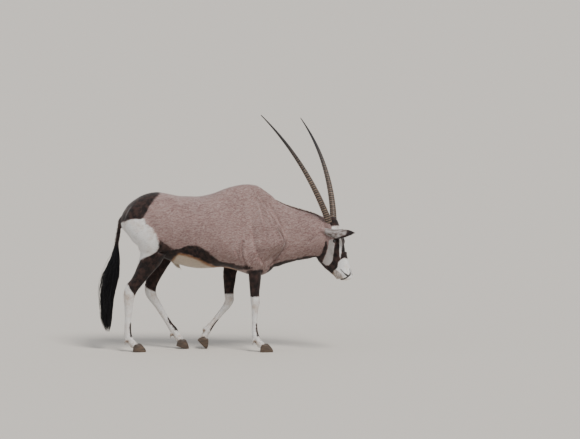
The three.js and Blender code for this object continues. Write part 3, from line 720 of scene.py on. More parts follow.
def head_marks(points):
    """The mask of the face, the same on both sides."""
    h = to_head(points)
    far_side = h[:, 2].copy()
    h[:, 2] = -np.abs(far_side)
    view = photo_place(FOREHEAD + h @ HEAD_AXES)
    face, stripe, muzzle, cheek, line, chin, throat = (
        outline_distance(view, o)
        for o in (FACE_DARK, FACE_STRIPE, MUZZLE, CHEEK, CHEEK_LINE, CHIN, THROAT)
    )
    # Beyond the middle of the face its pale stripe keeps to the far side.
    stripe = np.where(far_side > -4, np.maximum(stripe, 44 - far_side), stripe)
    band = np.maximum(np.abs(h[:, 0] - 44) - 20, -h[:, 1] - 26)
    slits = nearest(
        *[line_distance(view, line_) * MM_PER_PIXEL - half for line_, half in MUZZLE_LINES]
    )
    fold = (line_distance(view, NOSE_FOLD_SHADE) - 0.1) * MM_PER_PIXEL
    return {
        "dark": nearest(np.maximum.reduce([face, -stripe, -band]), line, throat),
        "white": nearest(stripe, muzzle, cheek, band),
        "cheek": cheek,
        "slits": np.where(h[:, 2] < -6, slits, 60.0),
        "chin": nearest(chin, fold),
    }


def trunk_marks(points):
    near = points.copy()
    near[:, 1] = -np.abs(near[:, 1])
    view = photo_place(near)
    # The tail is dark from its root.
    dock = np.array(DOCK, float)[::-1]
    dock_x = np.interp(points[:, 2], dock[:5, 2], dock[:5, 0])
    off_dock = np.hypot(points[:, 0] - dock_x, points[:, 1]) - 34
    off_dock = np.where(points[:, 2] < 975, off_dock, NOWHERE)
    croup, stifle, throat, thigh_, belly = (
        outline_distance(view, o) for o in (CROUP, STIFLE, THROAT, THIGH_WHITE, BELLY)
    )
    return {
        "dark": nearest(croup, stifle, throat, off_dock),
        "white": nearest(thigh_, belly),
        "beige": belly,
    }


def markings(points):
    """For each point, its distance in millimetres to each marking, negative inside it."""
    is_head = (points - HEAD_FROM) @ HEAD_CUT > HEAD_STARTS
    use_leg, leg = leg_marks(points)
    head, trunk = head_marks(points), trunk_marks(points)
    found = {}
    for key in ("dark", "white", "chin", "slits", "cheek", "beige", "smudge", "dust"):
        body = np.where(use_leg, leg.get(key, NOWHERE), trunk.get(key, NOWHERE))
        found[key] = np.where(is_head, head.get(key, NOWHERE), body)
    return found


fields = markings(co)
# The folds' painted shade is carried with the markings.
fields["crease_shade"] = crease_shade
# The openings of the nostrils join these lines of painted shade.
muzzle = np.where(near_nostril, (nostril - 0.85) * 9, 60)
fields["slits"] = np.minimum(fields["slits"], np.where(headness > 0.5, muzzle, 60))


for key, value in fields.items():
    put(whole, f"mark_{key}", np.clip(value, -80, 80))


# ---- Materials
def srgb(*c):
    c = np.array(c, float) / 255
    return tuple(np.where(c <= 0.04045, c / 12.92, ((c + 0.055) / 1.055) ** 2.4)) + (1.0,)


class Nodes:
    """Short names for building a material's nodes."""

    def __init__(self, name, roughness):
        self.material = bpy.data.materials.new(name)
        self.material.use_nodes = True
        self.tree = self.material.node_tree
        self.shader = self.tree.nodes["Principled BSDF"]
        self.set("Roughness", roughness)

    def set(self, name, value):
        self.shader.inputs[name].default_value = value

    def add(self, kind, **settings):
        node = self.tree.nodes.new(kind)
        for key, value in settings.items():
            setattr(node, key, value)
        return node

    def link(self, a, b):
        self.tree.links.new(a, b)

    def value(self, name):
        return self.add("ShaderNodeAttribute", attribute_name=name).outputs["Fac"]

    def math(self, operation, a, b=None, clamp=False):
        node = self.add("ShaderNodeMath", operation=operation, use_clamp=clamp)
        for i, x in enumerate([a] if b is None else [a, b]):
            if isinstance(x, (int, float)):
                node.inputs[i].default_value = x
            else:
                self.link(x, node.inputs[i])
        return node.outputs[0]

    def noise(self, scale, detail=3.0, stretch=None):
        co_ = self.add("ShaderNodeTexCoord").outputs["Object"]
        if stretch:
            mapping = self.add("ShaderNodeMapping")
            mapping.inputs["Scale"].default_value = stretch
            self.link(co_, mapping.inputs["Vector"])
            co_ = mapping.outputs[0]
        node = self.add("ShaderNodeTexNoise")
        self.link(co_, node.inputs["Vector"])
        node.inputs["Scale"].default_value = scale
        node.inputs["Detail"].default_value = detail
        node.inputs["Roughness"].default_value = 0.55
        return node.outputs["Fac"]

    def mix(self, factor, a, b):
        node = self.add("ShaderNodeMix", data_type="RGBA")
        for socket, x in ((node.inputs[0], factor), (node.inputs[6], a), (node.inputs[7], b)):
            if hasattr(x, "is_output"):
                self.link(x, socket)
            else:
                socket.default_value = x
        return node.outputs[2]

    def ramp(self, x, low, high):
        node = self.add("ShaderNodeMapRange", interpolation_type="SMOOTHSTEP")
        self.link(x, node.inputs["Value"])
        node.inputs["From Min"].default_value = low
        node.inputs["From Max"].default_value = high
        return node.outputs["Result"]

    def bump(self, height, strength, distance):
        node = self.add("ShaderNodeBump")
        node.inputs["Strength"].default_value = strength
        node.inputs["Distance"].default_value = distance
        self.link(height, node.inputs["Height"])
        self.link(node.outputs["Normal"], self.shader.inputs["Normal"])

    def colour(self, socket):
        self.link(socket, self.shader.inputs["Base Color"])


FAWN, FAWN_LIGHT, FAWN_DARK = srgb(139, 107, 103), srgb(155, 124, 119), srgb(98, 74, 70)
# Painted light on the coat: a pale tone of some tufts with a painted highlight on the tips, painted
# shade at the tufts' roots, painted shade in the skin's folds.
PALE_TONE_AND_TIP_HIGHLIGHT, SHADE, CREASE_SHADE = srgb(236, 226, 220), srgb(30, 22, 20), srgb(58, 40, 36)
BLACK, BROWN = srgb(30, 23, 23), srgb(72, 52, 47)
WHITE, WHITE_WARM, GREY_WHITE = srgb(240, 238, 236), srgb(214, 200, 188), srgb(178, 170, 166)
BEIGE, TAN = srgb(205, 190, 172), srgb(150, 108, 74)
DUST, SMUDGE = srgb(176, 146, 118), srgb(122, 92, 66)
# The first two are the chin's stain and also paint shade in the fold beside the nose; the third is
# painted shade in the nostrils and the mouth's lines.
STAIN_AND_SHADE_DARK, STAIN_AND_SHADE_PALE, SLIT_SHADE = srgb(120, 92, 70), srgb(196, 182, 170), srgb(20, 16, 17)
EAR_GREY, EAR_FLECK = srgb(168, 161, 158), srgb(108, 95, 90)
# The third is painted shade for the valleys between the horn's rings.
HORN_PALE, HORN_DULL, HORN_VALLEY_SHADE = srgb(138, 116, 98), srgb(96, 80, 69), srgb(22, 18, 17)
HORN_TIP = srgb(26, 23, 24)
IRIS_DARK, IRIS_LIGHT, PUPIL = srgb(30, 18, 12), srgb(52, 32, 20), srgb(6, 5, 8)
HOOF_DARK, HOOF_PALE = srgb(52, 43, 37), srgb(92, 75, 60)
TAIL_BLACK, TAIL_SHINE = srgb(4, 4, 6), srgb(17, 17, 23)
MANE_DARK, MANE_LIGHT = srgb(86, 66, 58), srgb(140, 116, 108)
FLOOR = srgb(210, 204, 195)


def coat_material(name, fur, ear=False):
    """The coat's markings, from the mark_ distances; fur also has a tone for each tuft, with
    painted shade at its root and a painted highlight at its tip.
    """
    n = Nodes(name, 0.78)
    ragged = n.math("MULTIPLY", n.math("SUBTRACT", n.noise(160, 3), 0.5), 13.0)
    wander = n.math("MULTIPLY", n.math("SUBTRACT", n.noise(22, 2), 0.5), 14.0)
    shake = n.math("ADD", ragged, wander)

    def inside(key, width=3.5, offset=0.0):
        d = n.math("ADD", n.value(f"mark_{key}"), shake)
        return n.math("SUBTRACT", 1.0, n.ramp(d, offset - width, offset + width), clamp=True)

    def part(mask, strength):
        return n.math("MULTIPLY", mask, strength)

    fine = n.noise(420, 2, stretch=(0.35, 1.0, 1.0))
    base = n.mix(n.ramp(n.noise(9, 4), 0.3, 0.72), FAWN_LIGHT, FAWN)
    base = n.mix(part(n.ramp(fine, 0.44, 0.74), 0.6), base, FAWN_DARK)
    if fur:
        tone = n.value("tone")
        # Paler tufts at random, and a painted highlight on the tufts' tips.
        base = n.mix(part(n.ramp(tone, 0.3, 0.0), 0.25), base, PALE_TONE_AND_TIP_HIGHLIGHT)
    white = n.mix(n.ramp(n.noise(14, 4), 0.45, 0.8), WHITE, WHITE_WARM)
    white = n.mix(part(inside("cheek"), 0.8), white, GREY_WHITE)
    if ear:
        flecks = n.ramp(n.noise(60, 4, stretch=(0.4, 1.0, 1.0)), 0.38, 0.62)
        white = n.mix(flecks, EAR_GREY, EAR_FLECK)
    tan_edge = n.mix(inside("beige", 9, -16), TAN, BEIGE)
    white = n.mix(inside("beige", 2.0, 4.0), white, tan_edge)
    dark = n.mix(n.ramp(n.noise(30, 3), 0.35, 0.75), BLACK, BROWN)
    dusty = part(inside("dust", 40), n.ramp(n.noise(24, 4), 0.42, 0.7))
    white = n.mix(part(dusty, 0.6), white, DUST)
    out = n.mix(inside("white"), base, white)
    out = n.mix(part(inside("smudge", 9), 0.75), out, SMUDGE)
    out = n.mix(inside("dark"), out, dark)
    # The chin's own stain, and painted shade in the fold beside the nose.
    stain_and_shade = n.mix(n.ramp(n.noise(70, 3), 0.35, 0.65), STAIN_AND_SHADE_DARK, STAIN_AND_SHADE_PALE)
    out = n.mix(part(inside("chin", 5), 0.7), out, stain_and_shade)
    # Painted shade in the skin's folds.
    out = n.mix(part(inside("crease_shade", 8, 4), 0.6), out, CREASE_SHADE)
    # Painted shade, nearly black, in the nostrils and along the mouth's lines.
    sharp = n.math("ADD", n.value("mark_slits"), part(ragged, 0.2))
    out = n.mix(part(n.ramp(sharp, 1.8, -1.2), 0.95), out, SLIT_SHADE)
    if fur:
        # Painted shade towards each tuft's root, most on the darker tufts.
        out = n.mix(part(n.ramp(tone, 0.3, 0.9), 0.62), out, SHADE)
    n.colour(out)
    if not fur:
        n.bump(n.math("ADD", part(fine, 0.6), part(n.noise(150, 3), 0.5)), 0.55, 0.004)
    n.set("Sheen Weight", 0.35)
    n.set("Sheen Roughness", 0.45)
    n.set("Specular IOR Level", 0.25)
    return n.material


skin_material = coat_material("coat skin", False)
fur_material = coat_material("coat fur", True)
ear_skin_material = coat_material("ear skin", False, ear=True)
ear_fur_material = coat_material("ear fur", True, ear=True)
whole.materials.clear()
whole.materials.append(skin_material)

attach(skin, "root")
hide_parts("torso", "neck", "head", "tail_dock", *[f"leg_{k}" for k in LEGS])

# ---- Pieces of the coat and the head
def tri_mesh(name, points, triangles, normals=None, uv=None, attributes=None, material=None):
    """An object from arrays of triangles, placed, with one uv a corner of each point."""
    mesh = bpy.data.meshes.new(name)
    points = place(points).astype(np.float32)
    triangles = np.asarray(triangles, np.int32)
    mesh.vertices.add(len(points))
    mesh.vertices.foreach_set("co", points.ravel())
    mesh.loops.add(triangles.size)
    mesh.loops.foreach_set("vertex_index", triangles.ravel())
    mesh.polygons.add(len(triangles))
    mesh.polygons.foreach_set("loop_start", np.arange(0, triangles.size, 3, dtype=np.int32))
    mesh.polygons.foreach_set("loop_total", np.full(len(triangles), 3, np.int32))
    mesh.update(calc_edges=True)
    mesh.shade_smooth()
    for key, value in (attributes or {}).items():
        put(mesh, key, value)
    if uv is not None:
        layer = mesh.uv_layers.new(name="OFBake")
        layer.data.foreach_set("uv", uv[triangles.ravel()].astype(np.float32).ravel())
    if normals is not None:
        mesh.normals_split_custom_set_from_vertices(normals.astype(np.float32))
    if material:
        mesh.materials.append(material)
    obj = bpy.data.objects.new(name, mesh)
    bpy.context.scene.collection.objects.link(obj)
    return obj


# The skin's own unwrap: the trunk, the head and each leg are rolled out round their axes.
TRUNK_AXIS_Z = 850.0
TILES = {
    "trunk": (0.01, 0.51, 0.98, 0.48),
    "head": (0.01, 0.01, 0.48, 0.48),
    "fore_right": (0.51, 0.01, 0.23, 0.23),
    "fore_left": (0.76, 0.01, 0.23, 0.23),
    "hind_right": (0.51, 0.26, 0.23, 0.23),
    "hind_left": (0.76, 0.26, 0.23, 0.23),
}


def region_of(points):
    """Number of the tile in which each point of the skin is unrolled."""
    level, off_axis, _, hind = leg_levels(points)
    leg = 2 + (points[:, 1] > 0) + 2 * hind
    body = np.where(on_leg(points, level, off_axis), leg, 0)
    return np.where((points - HEAD_FROM) @ HEAD_CUT > 0, 1, body).astype(int)


def unroll(points, region, around=None):
    """Places in the unwrap. With around, angles are taken on that side of the seam."""
    along = (points[:, 0] + 640) / 1620
    angle = np.arctan2(points[:, 1], points[:, 2] - TRUNK_AXIS_Z)
    h = to_head(points)
    head_angle = np.arctan2(h[:, 2], h[:, 1] + 75)
    along = np.where(region == 1, (h[:, 0] + 140) / 580, along)
    angle = np.where(region == 1, head_angle, angle)
    level, _, front, _ = leg_levels(points)
    names = list(TILES)
    for number in range(2, 6):
        rows = np.array([r[:3] for r in LEGS[names[number]]], float)
        middle = np.array([np.interp(level, np.arange(len(rows)), rows[:, c]) for c in (0, 1, 2)]).T
        off = points - middle
        leg_angle = np.arctan2(off[:, 1], off[:, 0])
        mine = region == number
        along = np.where(mine, level / 14, along)
        angle = np.where(mine, leg_angle, angle)
    if around is not None:
        angle = angle - np.round((angle - around) / (2 * np.pi)) * 2 * np.pi
    turn = np.clip(angle / (2 * np.pi) * 0.94 + 0.5, 0, 1)
    box = np.array(list(TILES.values()))[region]
    u = box[:, 0] + box[:, 2] * np.clip(along, 0, 1)
    v = box[:, 1] + box[:, 3] * turn
    return np.stack([u, v], -1), angle


def add_unwrap(mesh, points):
    loops = read(mesh.loops, "vertex_index", kind=np.int32)
    total = read(mesh.polygons, "loop_total", kind=np.int32)
    face = np.repeat(np.arange(len(total)), total)
    centre = np.stack(
        [np.bincount(face, points[loops, c], len(total)) / total for c in range(3)], -1
    )
    region = region_of(centre)
    _, around = unroll(centre, region)
    uv, _ = unroll(points[loops], region[face], around[face])
    layer = mesh.uv_layers.new(name="OFBake")
    layer.data.foreach_set("uv", uv.astype(np.float32).ravel())


add_unwrap(whole, co)


def scatter(mesh, points, normals, weight, count):
    """Random roots on a mesh, more where the weight is high: places, normals and mixes."""
    mesh.calc_loop_triangles()
    tri = read(mesh.loop_triangles, "vertices", 3, np.int32)
    a, b, c = (points[tri[:, i]] for i in range(3))
    area = np.linalg.norm(np.cross(b - a, c - a), axis=1) * weight[tri].mean(1)
    total = np.cumsum(area)
    spot = (np.arange(count) + rng.random(count)) / count * total[-1]
    chosen = np.minimum(np.searchsorted(total, spot), len(total) - 1)
    r1, r2 = np.sqrt(rng.random(count)), rng.random(count)
    mix = np.stack([1 - r1, r1 * (1 - r2), r1 * r2], -1)
    corner = tri[chosen]
    at = (points[corner] * mix[..., None]).sum(1)
    up = unit((normals[corner] * mix[..., None]).sum(1))
    return at, up, corner, mix


UV_PATCH = 0.0013  # half the width of a tuft's patch in the unwrap


def tufts(name, at, up, lie, length, width, values, uv, material, lift=0.16):
    """Short closed tufts, flat and pointed, lying along the coat."""
    n = len(at)
    lie = unit(lie - up * (lie * up).sum(1, keepdims=True))
    turn = rng.normal(0, 0.16, n)[:, None]
    across = np.cross(up, lie)
    lie = unit(lie + across * turn)
    across = np.cross(up, lie)
    length = (length * rng.uniform(0.75, 1.25, n))[:, None]
    width = (width * rng.uniform(0.75, 1.25, n))[:, None]
    raised = length * lift * rng.uniform(0.5, 1.4, n)[:, None]
    a = at + across * width / 2 - up * 0.8
    b = at - across * width / 2 - up * 0.8
    c = at + lie * length * 0.3 + up * (width * 0.3 + raised * 0.35)
    tip = at + lie * length + up * raised + across * length * 0.1 * rng.normal(0, 1, n)[:, None]
    points = np.stack([a, b, c, tip], 1).reshape(-1, 3)
    base = (np.arange(n) * 4)[:, None]
    faces = np.concatenate([base + f for f in ([0, 1, 2], [0, 2, 3], [2, 1, 3], [1, 0, 3])], 1)
    side = np.stack([across * 0.45, -across * 0.45, lie * -0.1, lie * 0.25], 1).reshape(-1, 3)
    normals = unit(np.repeat(up, 4, 0) + side)
    spread = UV_PATCH * np.array([[-1, -1], [1, -1], [0, 0.2], [0, 1]])
    uv4 = (uv[:, None] + spread).reshape(-1, 2)
    # A random tone for each tuft, falling from root to tip: the coat paints shade where it is high
    # and a highlight where it is low.
    tone = np.repeat(rng.random(n) ** 2, 4) * np.tile([1.0, 1.0, 0.7, 0.25], n)
    attributes = {f"mark_{k}": np.repeat(v, 4) for k, v in values.items()}
    attributes["tone"] = tone
    return tri_mesh(name, points, faces.reshape(-1, 3), normals, uv4, attributes, material)


def lie_of_coat(points):
    """Direction in which the hair lies: back along the body, down the legs and the face."""
    back = np.array([-1.0, 0.0, -0.28])
    lie = np.broadcast_to(back, points.shape).copy()
    level, off_axis, _, _ = leg_levels(points)
    leg = (smooth(-points[:, 2], -760, -560) * (off_axis < 140))[:, None]
    lie = lerp(lie, DOWN + np.array([-0.12, 0, 0]), leg)
    h = to_head(points)
    on = smooth((points - HEAD_FROM) @ HEAD_CUT, -20, 60)[:, None]
    cheek = smooth(-h[:, 1], 60, 130)[:, None]
    face = lerp(FACE_DOWN[None], unit(-FACE_OUT + 0.4 * FACE_DOWN)[None], cheek)
    return unit(lerp(lie, face, on))


skin_normal = vertex_normals(whole)
hd = to_head(co)
headness = smooth((co - HEAD_FROM) @ HEAD_CUT, -10, 50)
lowness = smooth(-co[:, 2], -560, -380)
faceness = headness * smooth(hd[:, 0], 150, 330)
bare = np.clip(1 - lens, 0, 1) * outer > 0
nose = (hd[:, 0] > 398) & (headness > 0.5)
weight = 1 + 3.2 * headness + 3.0 * faceness + 1.6 * lowness
weight = np.where(bare | nose | (co[:, 2] < 40), 0, weight)
under_belly = smooth(-skin_normal[:, 2], 0.2, 0.9)
coat_length = 19 - 10 * headness - 4 * faceness - 9 * lowness + 5 * under_belly
coat_width = 4.0 - 1.9 * headness - 0.6 * faceness - 1.6 * lowness
PER_PIECE = 48000
PIECES = 5
at, up, corner, mix = scatter(whole, co, skin_normal, weight, PER_PIECE * PIECES)
order = rng.permutation(len(at))
at, up, corner, mix = at[order], up[order], corner[order], mix[order]
root = {k: (v[corner] * mix).sum(1) for k, v in fields.items()}
hair_length = (coat_length[corner] * mix).sum(1)
hair_width = (coat_width[corner] * mix).sum(1)
lie = lie_of_coat(at)
root_uv, _ = unroll(at, region_of(at))
coat = []
for i in range(PIECES):
    part = slice(i * PER_PIECE, (i + 1) * PER_PIECE)
    coat.append(
        tufts(
            f"coat_{i}", at[part], up[part], lie[part], hair_length[part], hair_width[part],
            {k: v[part] for k, v in root.items()}, root_uv[part], fur_material,
        )
    )
for piece in coat:
    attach(piece, "root")


# Ears: a cupped leaf, its back outwards, with a dark edge and tip.
EAR_LENGTH, EAR_SAG = 246.0, 18.0
EARS = {
    "right": ((39, -96, -70), HEAD_FORWARD - 0.03 * HEAD_UP + 0.03 * HEAD_LEFT,
              0.85 * HEAD_LEFT - 0.5 * HEAD_UP),
    "left": ((36, -96, 64), HEAD_LEFT - 0.6 * HEAD_FORWARD + 0.1 * HEAD_UP,
             HEAD_FORWARD - 0.4 * HEAD_UP),
}
LEAF = [(-0.14, 17, 15), (0, 21, 19), (0.14, 24, 20), (0.3, 31, 19), (0.46, 37, 17), (0.6, 38, 14),
        (0.74, 32, 11), (0.88, 19, 7), (1, 3, 2.2)]


def ear(which):
    root_at, axis, opens = EARS[which]
    along = unit(axis)
    out = unit(opens - along * (opens @ along))
    across = -np.cross(along, out)
    leaf = through([(t, w, d, 0, 0, 0, 2, 0) for t, w, d in LEAF], 8)
    t, wide, deep = leaf[:, 0], leaf[:, 1] - 1.0, leaf[:, 2] - 1.0
    sides = 40
    a = round_turn(sides)
    wall = np.minimum(4.0, 0.6 * deep)[:, None]
    cup = smooth(t, 0.06, 0.24) * (1 - smooth(t, 0.93, 1.0))
    front = np.sin(a)[None] * np.ones_like(t)[:, None]
    hollow = (deep[:, None] - wall) * np.maximum(front, 0) * (1 - 2 * cup[:, None])
    high = np.where(front > 0, hollow, deep[:, None] * front)
    side = wide[:, None] * np.cos(a)[None]
    # The rims curl inwards over the cup towards the root.
    curl = (1 - smooth(t, 0.25, 0.7))[:, None] * np.abs(np.cos(a))[None] ** 4
    high = high + 9 * curl * cup[:, None]
    centre = head_point(*root_at) + EAR_LENGTH * t[:, None] * along
    sag = -np.sign(across[2]) * EAR_SAG * np.sin(np.pi * np.clip(t, 0, 1)) ** 1.5
    centre = centre + sag[:, None] * across
    points = centre[:, None] + side[..., None] * across + high[..., None] * out
    flat, tri = in_triangles(points, centre)
    n, m = len(t), sides
    lower = np.sign(across[2]) * -1  # which rim is the lower one
    edge = wide[:, None] * (1 - np.cos(a)[None] * lower)
    rim = 16 * smooth(t, 0.4, 0.8)[:, None]
    dark = np.minimum(
        (0.77 - t[:, None]) * EAR_LENGTH, edge - rim + 60 * (1 - smooth(t, 0.3, 0.5))[:, None]
    )
    upper = wide[:, None] * (1 + np.cos(a)[None] * lower)
    dark = np.minimum(dark, upper - 3 + 60 * (1 - smooth(t, 0.6, 0.75))[:, None])
    dark = np.append(dark.ravel(), [60, -10])
    far = np.full(len(flat), 80.0)
    values = {k: far for k in fields}
    root_fawn = np.append(np.repeat((0.1 - t) * EAR_LENGTH, m), [30, -80])
    values = {**values, "dark": dark, "white": root_fawn, "cheek": -far}
    u = np.append(np.repeat(t, m), [0, 1])
    v = np.append(np.tile(a / (2 * np.pi), n), [0, 0])
    tile = 0.0 if which == "right" else 0.5
    uv = np.stack([0.02 + 0.9 * (u + 0.14) / 1.14, tile + 0.02 + 0.44 * v], -1)
    return flat, tri, values, uv, along, out


for which in EARS:
    flat, tri, values, uv, along, out = ear(which)
    attributes = {f"mark_{k}": np.clip(v, -80, 80) for k, v in values.items()}
    piece = tri_mesh(f"ear_skin_{which}", flat, tri, None, uv, attributes, ear_skin_material)
    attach(piece, "root")
    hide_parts(f"ear_{which}")
    ear_normal = vertex_normals(piece.data)
    ear_weight = np.ones(len(flat))
    e_at, e_up, e_corner, e_mix = scatter(piece.data, flat, ear_normal, ear_weight, 9000)
    e_values = {k: (v[e_corner] * e_mix).sum(1) for k, v in values.items()}
    e_lie = np.broadcast_to(along, e_at.shape)
    inner = (e_up @ out) > 0.2
    e_length = np.where(inner, 14.0, 9.0)
    fur = tufts(
        f"ear_fur_{which}", e_at, e_up, e_lie, e_length, np.full(len(e_at), 2.0), e_values,
        (uv[e_corner] * e_mix[..., None]).sum(1), ear_fur_material, lift=0.1,
    )
    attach(fur, "root")


# Horns: ringed below, smooth and black above.
HORN_LENGTH, HORN_RADIUS = 940.0, 25.0
HORN_LEAN = (13.8, 45.2)
HORN_SPLAY, HORN_CLOSING = 19.0, 7.0
HORN_RINGS = 34
HORN_RINGED = 0.58


def horn_line(side, steps):
    """Points along a horn, and the share of its length that each has reached."""
    at_ = head_point(0, -45, side * 26) - 24 * -FACE_DOWN
    t = (np.arange(steps + 1) / steps) * (HORN_LENGTH + 24) - 24
    share = np.clip(t / HORN_LENGTH, 0, 1)
    lean = np.radians(lerp(*HORN_LEAN, share))
    splay = np.radians(HORN_SPLAY + HORN_CLOSING * (0.5 - share))
    direction = (
        -np.sin(lean)[:, None] * np.cos(splay)[:, None] * HEAD_FORWARD
        + np.cos(lean)[:, None] * np.cos(splay)[:, None] * HEAD_UP
        + side * np.sin(splay)[:, None] * HEAD_LEFT
    )
    move = direction[1:] * np.diff(t)[:, None]
    return at_ + np.vstack([np.zeros(3), np.cumsum(move, 0)]), share, direction


def horn(side):
    centre, share, direction = horn_line(side, 620)
    radius = HORN_RADIUS * (1 - 0.56 * share - 0.32 * share**2)
    sides = 28
    a = round_turn(sides)
    cross = unit(HEAD_LEFT - direction * (direction @ HEAD_LEFT)[:, None])
    front = np.cross(direction, cross)
    # Rings run a little oblique, stand out most at the front and fade upwards.
    phase = share[:, None] / HORN_RINGED * HORN_RINGS + 0.22 * np.cos(a)[None]
    phase = phase + 0.25 * np.sin(3.1 * phase) * 0.3
    wave = (0.5 + 0.5 * np.cos(2 * np.pi * phase)) ** 1.6
    strength = 3.0 * (1 - smooth(share, 0.46, 0.66)) * smooth(share, 0.0, 0.03)
    ridge = (wave - 0.55) * strength[:, None] * (0.75 + 0.25 * np.sin(a)[None])
    r = radius[:, None] + ridge
    points = centre[:, None] + r[..., None] * (
        np.cos(a)[None, :, None] * cross[:, None] + np.sin(a)[None, :, None] * front[:, None]
    )
    flat, tri = in_triangles(points, centre)
    height = np.append(np.repeat(share, sides), [0, 1])
    shown = np.minimum(strength, 1)[:, None]
    # Low in the valleys between the rings, where the horn gets painted shade.
    valley_shade = np.append((wave * shown + 0.6 * (1 - shown)).ravel(), [0.6, 0.6])
    return flat, tri, {"height": height, "ridge": valley_shade}


horn_look = Nodes("horn", 0.42)
grain = horn_look.noise(90, 4, stretch=(1.0, 1.0, 0.12))
lower = horn_look.mix(horn_look.ramp(grain, 0.3, 0.7), HORN_PALE, HORN_DULL)
# Painted shade in the valleys between the rings.
lower = horn_look.mix(horn_look.ramp(horn_look.value("ridge"), 0.1, 0.8), HORN_VALLEY_SHADE, lower)
up_dark = horn_look.ramp(horn_look.value("height"), 0.34, 0.74)
horn_look.colour(horn_look.mix(up_dark, lower, HORN_TIP))
horn_look.bump(horn_look.noise(260, 3, stretch=(1.0, 1.0, 0.1)), 0.35, 0.002)
for side, label in ((RIGHT, "right"), (LEFT, "left")):
    flat, tri, marks_ = horn(side)
    piece = tri_mesh(f"horn_ringed_{label}", flat, tri, None, None, marks_, horn_look.material)
    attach(piece, "root")
    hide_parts(f"horn_{label}")


# Eyes: dark, glossy, with a level oblong pupil.
eye_look = Nodes("eye", 0.08)
iris = eye_look.mix(eye_look.ramp(eye_look.noise(300, 2), 0.3, 0.7), IRIS_DARK, IRIS_LIGHT)
eye_look.colour(eye_look.mix(eye_look.value("pupil"), iris, PUPIL))
eye_look.set("Coat Weight", 1.0)
eye_look.set("Coat Roughness", 0.03)
for side, label in ((RIGHT, "right"), (LEFT, "left")):
    centre = eye_centre(side)
    p, f = ball(centre, (EYE_RADIUS - 0.4,) * 3, [FACE_DOWN, HEAD_LEFT, FACE_OUT], 30)
    piece = make_object(f"eyeball_{label}", p, f)
    off = (p - centre) @ np.array([FACE_DOWN, FACE_OUT, side * HEAD_LEFT]).T
    pupil = 1 - smooth(np.hypot(off[:, 0] / 9.5, off[:, 1] / 5.0), 0.85, 1.1)
    pupil = np.where(off[:, 2] > 0, pupil, 1)
    put(piece.data, "pupil", pupil)
    piece.data.materials.append(eye_look.material)
    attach(piece, "root")
    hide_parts(f"eye_{label}")

# Claws
CLAW_LENGTH, CLAW_HEIGHT, CLAW_SPREAD, FLAT_BITE = 98.0, 56.0, 24.0, 5.0
FEET = {
    "fore_right": ((434, -104), 0),
    "hind_right": ((-485, -100), 0),
    "hind_left": ((-178, 100), 17),
    "fore_left": ((-22, 100), 47),
}
hoof_look = Nodes("hoof", 0.55)
rings_ = hoof_look.noise(60, 3, stretch=(0.3, 0.3, 3.0))
hoof_look.colour(hoof_look.mix(hoof_look.ramp(rings_, 0.3, 0.7), HOOF_DARK, HOOF_PALE))
hoof_look.bump(rings_, 0.5, 0.003)


def claw(foot, inner):
    (heel_x, heel_y), tip = FEET[foot]
    profile = [(0, 40, 54, 20), (12, 40, 52, 20.5), (30, 38, 40, 20), (46, 33, 26, 18.5),
               (CLAW_HEIGHT, 26, 15, 15)]
    rows = []
    for z, heel, toe, wide in profile:
        y = -inner * 2 * (1 - z / CLAW_HEIGHT)
        rows.append((0.42 * CLAW_LENGTH, y, z, wide, heel, toe, 2.1, 0.34))
    p, f = tube(rows, 40, 6, facing=UP)
    # A lifted foot stands on its toe.
    turn = np.array(Matrix.Rotation(math.radians(tip), 3, "Y"))
    p = p @ turn.T
    lift = -FLAT_BITE - p[:, 2].min() if tip else 0
    p = p + np.array([heel_x, heel_y + inner * CLAW_SPREAD, lift])
    p[:, 2] = np.maximum(p[:, 2], 0)
    return p, f


for foot in FEET:
    outwards = RIGHT if "right" in foot else LEFT
    piece = make_object(f"claws_{foot}", *gather([claw(foot, outwards), claw(foot, -outwards)]))
    piece.data.materials.append(hoof_look.material)
    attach(piece, "root")
    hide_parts(f"hoof_{foot}_outer", f"hoof_{foot}_inner")


# Long hair: tapered locks of three sides, bent along their course.
LOCK_FLATNESS = 0.45


def locks(name, course, width, material):
    """course is locks by steps by xyz; width is locks by steps."""
    n, steps = course.shape[:2]
    along = np.gradient(course, axis=1)
    along = unit(along)
    guide = unit(rng.normal(0, 1, (n, 1, 3)))
    side = unit(np.cross(along, guide))
    up_ = np.cross(along, side)
    ring = []
    for angle in (0, 2 * np.pi / 3, 4 * np.pi / 3):
        offset = side * math.cos(angle) + up_ * math.sin(angle) * LOCK_FLATNESS
        ring.append(course + offset * width[..., None])
    points = np.stack(ring, 2)
    index = np.arange(n * steps * 3).reshape(n, steps, 3)
    faces = []
    for j in range(3):
        k = (j + 1) % 3
        a, b = index[:, :-1, j], index[:, :-1, k]
        c, d = index[:, 1:, k], index[:, 1:, j]
        faces += [np.stack([a, b, c], -1).reshape(-1, 3), np.stack([a, c, d], -1).reshape(-1, 3)]
    faces.append(index[:, 0, ::-1].reshape(-1, 3))
    faces.append(index[:, -1].reshape(-1, 3))
    tone = np.repeat(rng.random(n), steps * 3)
    spot = np.stack([rng.uniform(0.02, 0.98, n), rng.uniform(0.02, 0.98, n)], -1)
    around = np.arange(3) * 2.1
    patch = UV_PATCH * np.stack([np.cos(around), np.sin(around)], -1)
    uv = np.repeat(spot, steps * 3, 0) + np.tile(patch, (n * steps, 1))
    return tri_mesh(
        name, points.reshape(-1, 3), np.vstack(faces), None, uv, {"tone": tone}, material
    )


hair_look = Nodes("tail hair", 0.42)
tint = hair_look.ramp(hair_look.value("tone"), 0.0, 1.0)
hair_look.colour(hair_look.mix(tint, TAIL_BLACK, TAIL_SHINE))
hair_look.set("Sheen Weight", 0.04)
hair_look.set("Specular IOR Level", 0.22)

